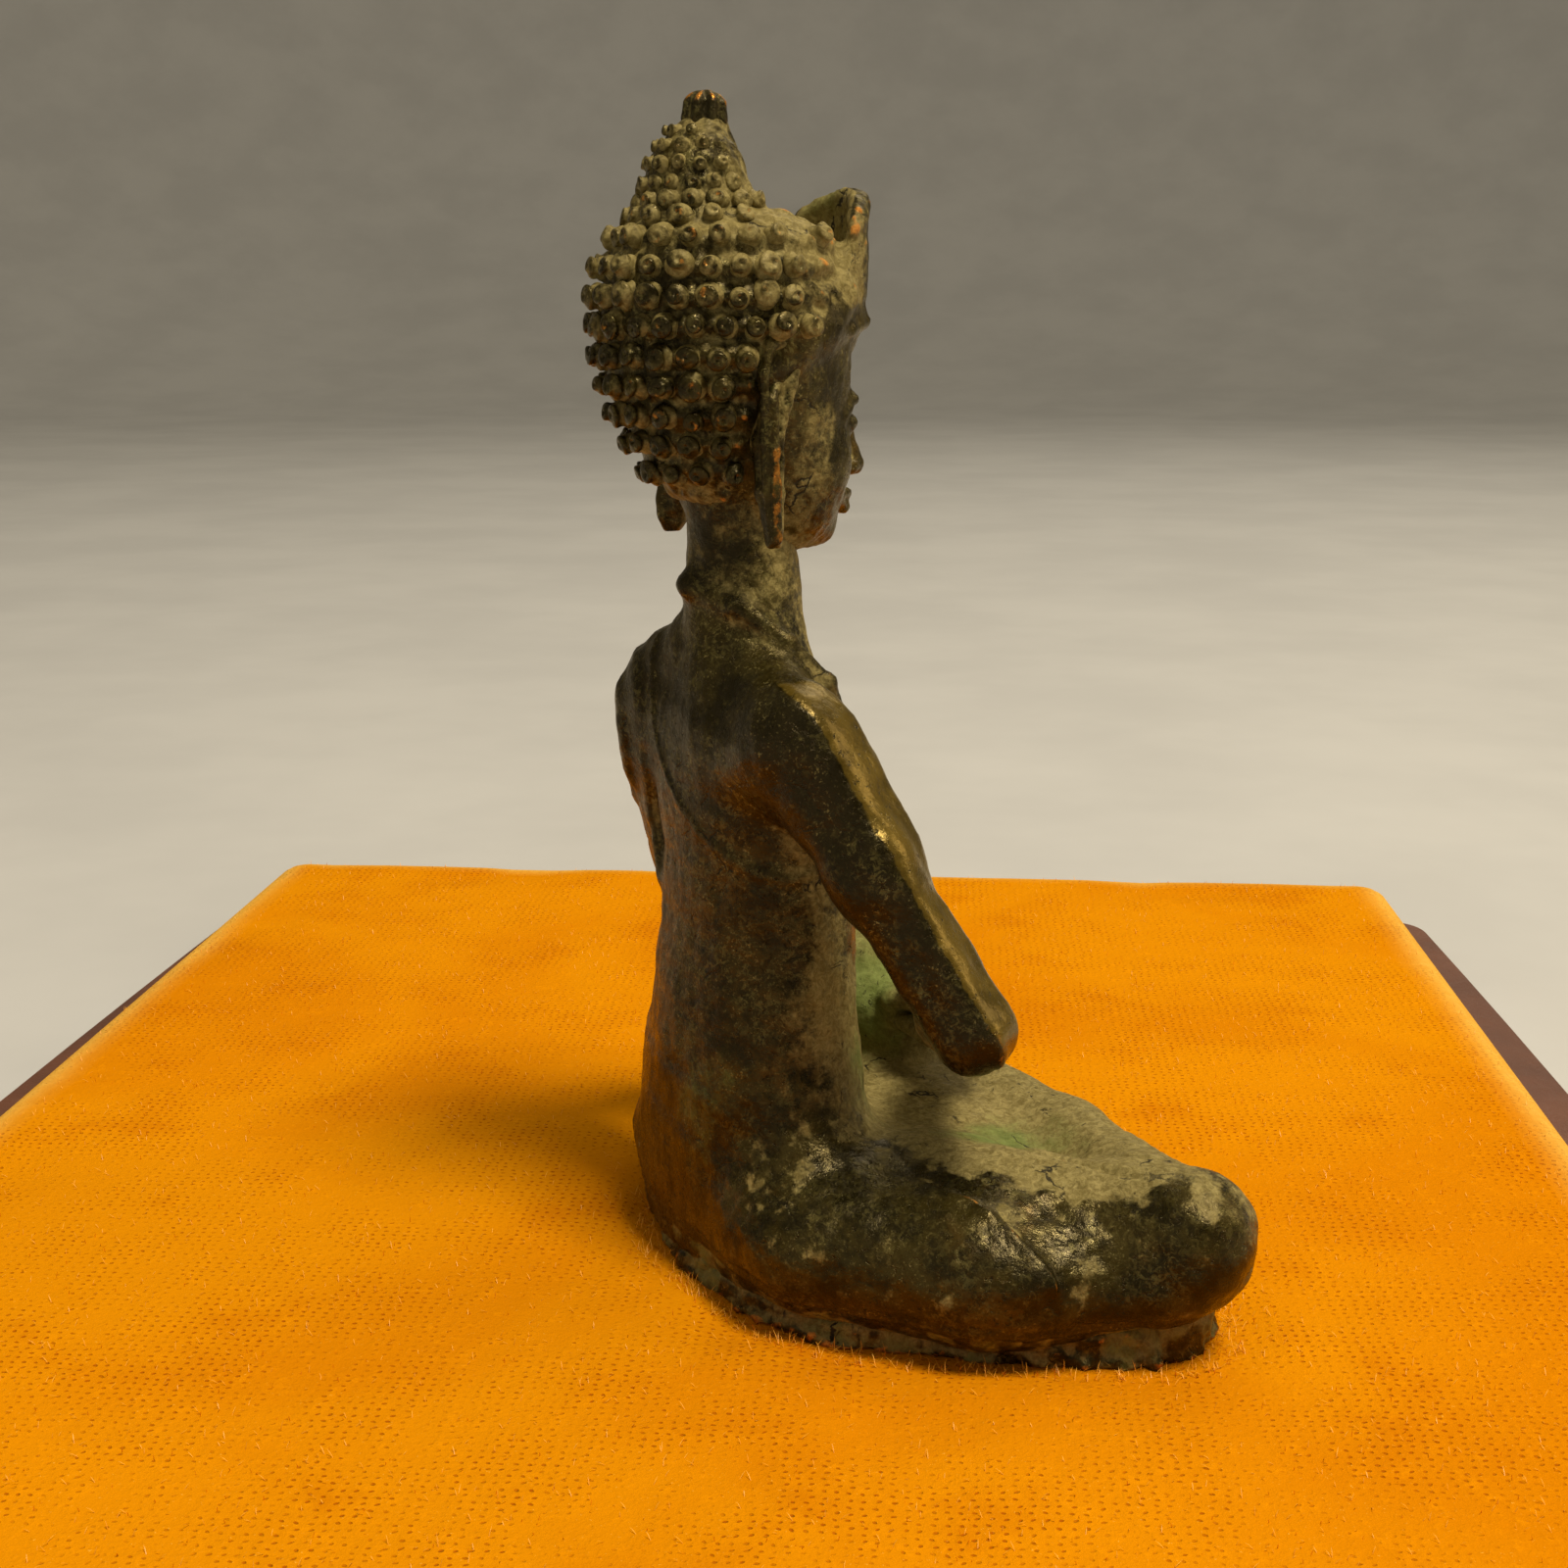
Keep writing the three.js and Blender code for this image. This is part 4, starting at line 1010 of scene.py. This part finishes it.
def velvet():
    """Orange velvet: knit rows that show through where the pile is thin, with lighter fibres and edges."""
    n = Nodes("orange_velvet")
    broad, patches = n.noise(34, 3, 0.55, warp=0.6), n.noise(9, 4, 0.6)
    fine, fibre = n.noise(1.1, 3, 0.7), n.noise(0.22, 2, 0.8)
    place = n.add("ShaderNodeSeparateXYZ")
    n.put(n.wander(3.0, 2, 0.9), place.inputs[0])
    x, y, _ = place.outputs
    pitch, row = 0.74 * MM, 0.62 * MM
    waves = n.math("SINE", n.times(y, 2 * math.pi / row))
    stagger = n.times(n.math("SINE", n.times(y, math.pi / row)), 0.9)
    across = n.math("SINE", n.math("ADD", n.times(x, 2 * math.pi / pitch), stagger))
    knit = n.times(n.scaled(waves, 0.5, 0.5), n.scaled(across, 0.5, 0.5))
    shown = n.ramp(n.math("ADD", patches, n.times(fine, 0.6)), 0.66, 0.96)
    dots = n.times(n.ramp(knit, 0.60, 0.95), n.scaled(shown, 0.95, 0.02))
    colour = n.mix(n.ramp(broad, 0.38, 0.66), (0.66, 0.242, 0.0015), (0.60, 0.198, 0.001))
    colour = n.over(colour, n.ramp(patches, 0.52, 0.75), 0.6, (0.54, 0.160, 0.001))
    colour = n.over(colour, n.ramp(fine, 0.5, 0.8), 0.35, (0.86, 0.32, 0.002))
    colour = n.mix(dots, colour, (0.42, 0.095, 0.002))
    colour = n.over(colour, n.ramp(fibre, 0.66, 0.78), 0.5, (1.0, 0.62, 0.10))
    colour = n.mix(n.times(n.fact("worn"), n.scaled(fine, 0.8, 0.3), clamp=True), colour, (0.80, 0.50, 0.10))
    n.bump([(patches, 0.3, 1.2), (fine, 0.45, 0.35), (n.rest(dots), 0.6, 0.25), (fibre, 0.55, 0.12)])
    return n.show(Base_Color=colour, Roughness=0.95, Specular_IOR_Level=0.0, Sheen_Weight=0.12,
                  Sheen_Roughness=0.35, Sheen_Tint=(1.0, 0.50, 0.04, 1))


def board_brown():
    n = Nodes("brown_board_cover")
    broad, fine, grain = n.noise(20, 4, 0.6), n.noise(1.4, 5, 0.7), n.noise(0.4, 3, 0.7)
    colour = n.mix(n.ramp(broad, 0.35, 0.7), (0.085, 0.030, 0.016), (0.135, 0.048, 0.024))
    colour = n.over(colour, n.ramp(fine, 0.58, 0.8), 0.5, (0.20, 0.085, 0.045))
    n.bump([(fine, 0.4, 0.25), (grain, 0.4, 0.08)])
    return n.show(Base_Color=colour, Roughness=n.scaled(fine, 0.3, 0.38))


def nap_fibre():
    n = Nodes("velvet_nap")
    tint = n.mix(n.noise(1.2, 2, 0.6), (0.62, 0.17, 0.001), (0.95, 0.42, 0.02))
    return n.show(Base_Color=n.over(tint, n.fact("tip"), 0.5, (1.0, 0.62, 0.10)), Roughness=0.45,
                  Specular_IOR_Level=0.35)


VELVET, BOARD, NAP = velvet(), board_brown(), nap_fibre()
velvet_low, velvet_high = (v * MM for v in box_mm("velvet_cover"))
PAD_CORNER = 3 * MM


def rounded_outline(half_x, half_y, corner, per_side, per_corner):
    """Points round a rounded rectangle, anticlockwise from the top of its right edge."""
    arcs = []
    for cx, cy, start in ((1, 1, 0), (-1, 1, 90), (-1, -1, 180), (1, -1, 270)):
        a = np.radians(start + np.linspace(0, 90, per_corner + 1))
        centre = (cx * (half_x - corner), cy * (half_y - corner))
        arcs.append(centre + corner * np.stack([np.cos(a), np.sin(a)], -1))
    out = []
    share = np.arange(1, per_side)[:, None] / per_side
    for arc, following in zip(arcs, arcs[1:] + arcs[:1]):
        out += [arc, arc[-1] + (following[0] - arc[-1]) * share]
    return np.concatenate(out)


SIM_SCALE = 10.0  # the cloth solver works better at ten times the real size
SIM_STEP = 3.4 * MM
SIM_TICKS = 20
CLOTH_SETTINGS = {
    "vertex_group_mass": "pins", "quality": 6, "use_pressure": True, "uniform_pressure_force": 0.4,
    "tension_stiffness": 25, "compression_stiffness": 25, "shrink_min": -0.02,
}
SWELL_CAP = 0.6 * MM
PINNED_MM = 2.0  # the velvet is held down this far round the figure


def plinth_clearance(xy):
    """Distance in mm outside the plinth's outline, for points of the pad's top in metres."""
    rel = xy / MM - FIGURE_AXIS
    return plinth_field(np.column_stack([rel @ FORWARD, rel @ LEFTWARD, np.full(len(rel), 0.6)]).astype(F32))


def swollen_top():
    """A cloth box the size of the pad, blown up a little and held at its rim and under the figure.
    Returns a function that gives the rise of the top at points of the pad, in metres."""
    half = (velvet_high - velvet_low)[:2] / 2
    nx, ny = (2 * half / SIM_STEP).astype(int)
    grid = grid_of(np.linspace(-half[0], half[0], nx + 1), np.linspace(-half[1], half[1], ny + 1))
    count = len(grid)
    thickness = velvet_high[2] - velvet_low[2]
    points = np.concatenate([np.column_stack([grid, np.full(count, z)]) for z in (0.0, thickness)])

    def at(i, j, top):
        return int(top * count + i * (ny + 1) + j)

    faces = []
    for i, j in grid_of(np.arange(nx), np.arange(ny)):
        faces.append((at(i, j, 1), at(i + 1, j, 1), at(i + 1, j + 1, 1), at(i, j + 1, 1)))
        faces.append((at(i, j, 0), at(i, j + 1, 0), at(i + 1, j + 1, 0), at(i + 1, j, 0)))
    rim = [(i, 0) for i in range(nx)] + [(nx, j) for j in range(ny)]
    rim += [(i, ny) for i in range(nx, 0, -1)] + [(0, j) for j in range(ny, 0, -1)]
    for a, b in zip(rim, rim[1:] + rim[:1]):
        faces.append((at(*a, 0), at(*b, 0), at(*b, 1), at(*a, 1)))
    mesh = bpy.data.meshes.new("cloth_box")
    mesh.from_pydata((points * SIM_SCALE).tolist(), [], faces)
    box = new_object("cloth_box", mesh)
    edge = np.minimum(half[0] - np.abs(grid[:, 0]), half[1] - np.abs(grid[:, 1])) < 0.5 * MM
    held = np.nonzero(edge | (plinth_clearance(grid) < PINNED_MM))[0] + count
    pins = box.vertex_groups.new(name="pins")
    pins.add(held.tolist() + list(range(count)), 1.0, "REPLACE")
    cloth = box.modifiers.new("Cloth", "CLOTH")
    for name, value in CLOTH_SETTINGS.items():
        setattr(cloth.settings, name, value)
    cloth.settings.effector_weights.gravity = 0
    cloth.point_cache.frame_start, cloth.point_cache.frame_end = 1, SIM_TICKS
    for tick in range(1, SIM_TICKS + 1):
        bpy.context.scene.frame_set(tick)
    bpy.context.view_layer.update()
    solved = box.evaluated_get(bpy.context.evaluated_depsgraph_get())
    after = np.empty(count * 2 * 3)
    solved.data.vertices.foreach_get("co", after)
    rise = after.reshape(-1, 3)[count:, 2] / SIM_SCALE - points[count:, 2]
    bpy.context.scene.frame_set(1)
    bpy.data.objects.remove(box)
    bpy.data.meshes.remove(mesh)
    rise = SWELL_CAP * np.tanh(np.clip(rise, 0, None) / SWELL_CAP).reshape(nx + 1, ny + 1)

    def lift(xy):
        cells = np.array([nx, ny])
        place = np.clip((xy + half) / (2 * half) * cells, 0, cells - 1e-6)
        corner = place.astype(int)
        (i, j), (a, b) = corner.T, (place - corner).T
        low = rise[i, j] * (1 - a) + rise[i + 1, j] * a
        high = rise[i, j + 1] * (1 - a) + rise[i + 1, j + 1] * a
        return low * (1 - b) + high * b

    return lift


def velvet_pad():
    """The velvet cover: a swollen top that rolls over at its edges, with a turned-in hem."""
    half = (velvet_high - velvet_low)[:2] / 2
    lift = swollen_top()
    roll = 1.5 * MM
    top, bottom = velvet_high[2], velvet_low[2]
    levels = [(1.6 * MM, bottom - 0.0001, 0.0), (0.25 * MM, bottom, 0.0)]
    levels += [(0.0, bottom + 0.6 * MM, 0.1), (0.0, top - roll, 0.5)]
    for i in range(1, 7):
        a = math.radians(90 * i / 6)
        levels.append((roll * (1 - math.cos(a)), top - roll + roll * math.sin(a), 0.5 + 0.4 * math.sin(a)))
    levels += [(roll + 0.8 * MM, top, 0.5), (roll + 1.8 * MM, top, 0.15)]
    levels += [(inset, top, 0.0) for inset in np.arange(roll + 3 * MM, half[0] - 0.3 * MM, 1.4 * MM)]
    rings, worn = [], []
    for inset, level, wear in levels:
        ring = rounded_outline(half[0] - inset, half[1] - inset, max(PAD_CORNER - inset, 0.2 * MM), 40, 8)
        rise = lift(ring) if level == top else 0.0
        rings.append(np.column_stack([ring, level + rise + np.zeros(len(ring))]))
        worn += [wear] * len(ring)
    around = len(rings[0])
    last = (len(rings) - 1) * around
    faces = ring_quads(len(rings), around)
    faces += [[last + j for j in range(around)], list(range(around))[::-1]]
    made = piece("velvet_cover_cloth", np.concatenate(rings).tolist(), faces, {"worn": worn},
                 ["velvet_cover", "wadding", "card"], VELVET, "pad")
    return lift


NAP_LENGTH = (0.35 * MM, 0.75 * MM)
NAP_HALF_WIDTH = 0.022 * MM
FRINGE_MM = 1.8  # longer fibres stand this far round the figure's foot
SPREAD_COUNT, AROUND_COUNT = ((9000, 30000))


def velvet_nap(lift):
    """Loose fibres that stand up out of the velvet, thickest round the foot of the figure."""
    rng = np.random.default_rng(23)
    half = (velvet_high - velvet_low)[:2] / 2 - 1.5 * MM
    spread = rng.uniform(-1, 1, (SPREAD_COUNT, 2)) * half
    around = (rng.uniform(-34, 34, (AROUND_COUNT, 2)) + FIGURE_AXIS + FORWARD * 9) * MM
    gap = plinth_clearance(around)
    around = around[(gap > 0.1) & (gap < FRINGE_MM)]
    roots = np.concatenate([spread[plinth_clearance(spread) > FRINGE_MM], around])
    n = len(roots)
    length = rng.uniform(*NAP_LENGTH, n)
    length[n - len(around):] *= 1.5
    turn = rng.uniform(0, 2 * math.pi, n)
    lean = rng.uniform(0.2, 1.1, n)
    lying = np.stack([np.cos(turn) * np.sin(lean), np.sin(turn) * np.sin(lean), np.cos(lean)], -1)
    across = np.stack([-np.sin(turn), np.cos(turn), np.zeros(n)], -1) * NAP_HALF_WIDTH
    base = np.column_stack([roots, velvet_high[2] + lift(roots) - 0.05 * MM])
    middle = base + lying * length[:, None] * 0.55
    tip = middle + lying * (1, 1, 0.55) * length[:, None] * 0.5
    points = np.stack([base - across, base + across, middle + across, middle - across, tip], 1).reshape(-1, 3)
    faces = [[i + v for v in part] for i in range(0, n * 5, 5) for part in ((0, 1, 2, 3), (3, 2, 4))]
    tips = np.tile([0.0, 0.0, 0.5, 0.5, 1.0], n)
    piece("velvet_nap", points.tolist(), faces, {"tip": tips}, [], NAP, "pad")


velvet_nap(velvet_pad())
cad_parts["base_board"].data.materials.clear()
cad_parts["base_board"].data.materials.append(BOARD)

# ---- Floor, light and camera ----


FLOOR_GAP = 0.2 * MM


def studio():
    """A round floor that curves up into a wall all the way round."""
    around = 96
    profile = [(0.5, 0.0), (1.2, 0.0)]
    profile += [(1.2 + 0.7 * math.sin(a), 0.7 - 0.7 * math.cos(a)) for a in np.linspace(0.1, math.pi / 2, 14)]
    profile += [(1.9, 1.6)]
    points = [(0, 0, 0)]
    for reach, level in profile:
        for a in np.linspace(0, 2 * math.pi, around, endpoint=False):
            points.append((reach * math.cos(a), reach * math.sin(a), level))
    faces = [(0, 1 + j, 1 + (j + 1) % around) for j in range(around)]
    faces += [quad[::-1] for quad in ring_quads(len(profile), around, 1)]
    mesh = bpy.data.meshes.new("studio_floor")
    mesh.from_pydata(points, [], faces)
    mesh.polygons.foreach_set("use_smooth", np.ones(len(mesh.polygons), bool))
    n = Nodes("pale_floor")
    tone = n.ramp(n.noise(60, 4, 0.6), 0.3, 0.7)
    pale = n.mix(tone, (0.47, 0.475, 0.50), (0.52, 0.525, 0.55))
    mesh.materials.append(n.show(Base_Color=pale, Roughness=0.8))
    made = new_object("studio_floor", mesh)
    made.location.z = -FLOOR_GAP


studio()
FOOT_OF_FIGURE = Vector((FIGURE_AXIS[0] * MM, FIGURE_AXIS[1] * MM, PAD_TOP * MM))
LOOK_AT = FOOT_OF_FIGURE + Vector((0, 0, 0.03))


def light(name, azimuth, elevation, distance, size, power, colour):
    data = bpy.data.lights.new(name, "AREA")
    data.energy, data.size, data.color = power, size, colour
    made = new_object(name, data)
    a, e = math.radians(azimuth), math.radians(elevation)
    way = Vector((math.sin(a) * math.cos(e), -math.cos(a) * math.cos(e), math.sin(e)))
    made.location = LOOK_AT + distance * way
    made.rotation_euler = (LOOK_AT - made.location).to_track_quat("-Z", "Y").to_euler()


light("key", 46, 66, 0.9, 0.22, 8.8, (1.0, 0.88, 0.66))
light("right", 98, 28, 0.8, 0.35, 1.3, (1.0, 0.80, 0.48))
light("back", 160, 42, 1.0, 0.5, 1.6, (1.0, 0.90, 0.70))
light("fill", -35, 25, 1.2, 0.9, 0.8, (1.0, 0.90, 0.72))
world = bpy.data.worlds.new("soft")
bpy.context.scene.world = world
world.use_nodes = True
set_inputs(world.node_tree.nodes["Background"], Color=(1.0, 0.87, 0.60, 1), Strength=0.35)

CAMERA_AZIMUTH = math.radians(4.4)
CAMERA_PITCH = math.radians(13.32)
# Where the camera stands from the foot of the figure, in figure heights.
CAMERA_BACK, CAMERA_ASIDE, CAMERA_UP = 1.715, 0.035, 0.837
camera = bpy.data.cameras.new("camera")
camera.sensor_width, camera.lens = 36, 46.6
camera.clip_start = 0.01
viewer = new_object("camera", camera)
forward = Vector((-math.sin(CAMERA_AZIMUTH), math.cos(CAMERA_AZIMUTH), 0))
rightward = Vector((math.cos(CAMERA_AZIMUTH), math.sin(CAMERA_AZIMUTH), 0))
away = rightward * CAMERA_ASIDE - forward * CAMERA_BACK + Vector((0, 0, CAMERA_UP))
viewer.location = FOOT_OF_FIGURE + away * FIGURE_HEIGHT * MM
viewer.rotation_euler = (math.pi / 2 - CAMERA_PITCH, 0, CAMERA_AZIMUTH)
bpy.context.scene.camera = viewer
bpy.context.scene.view_settings.view_transform = "Standard"
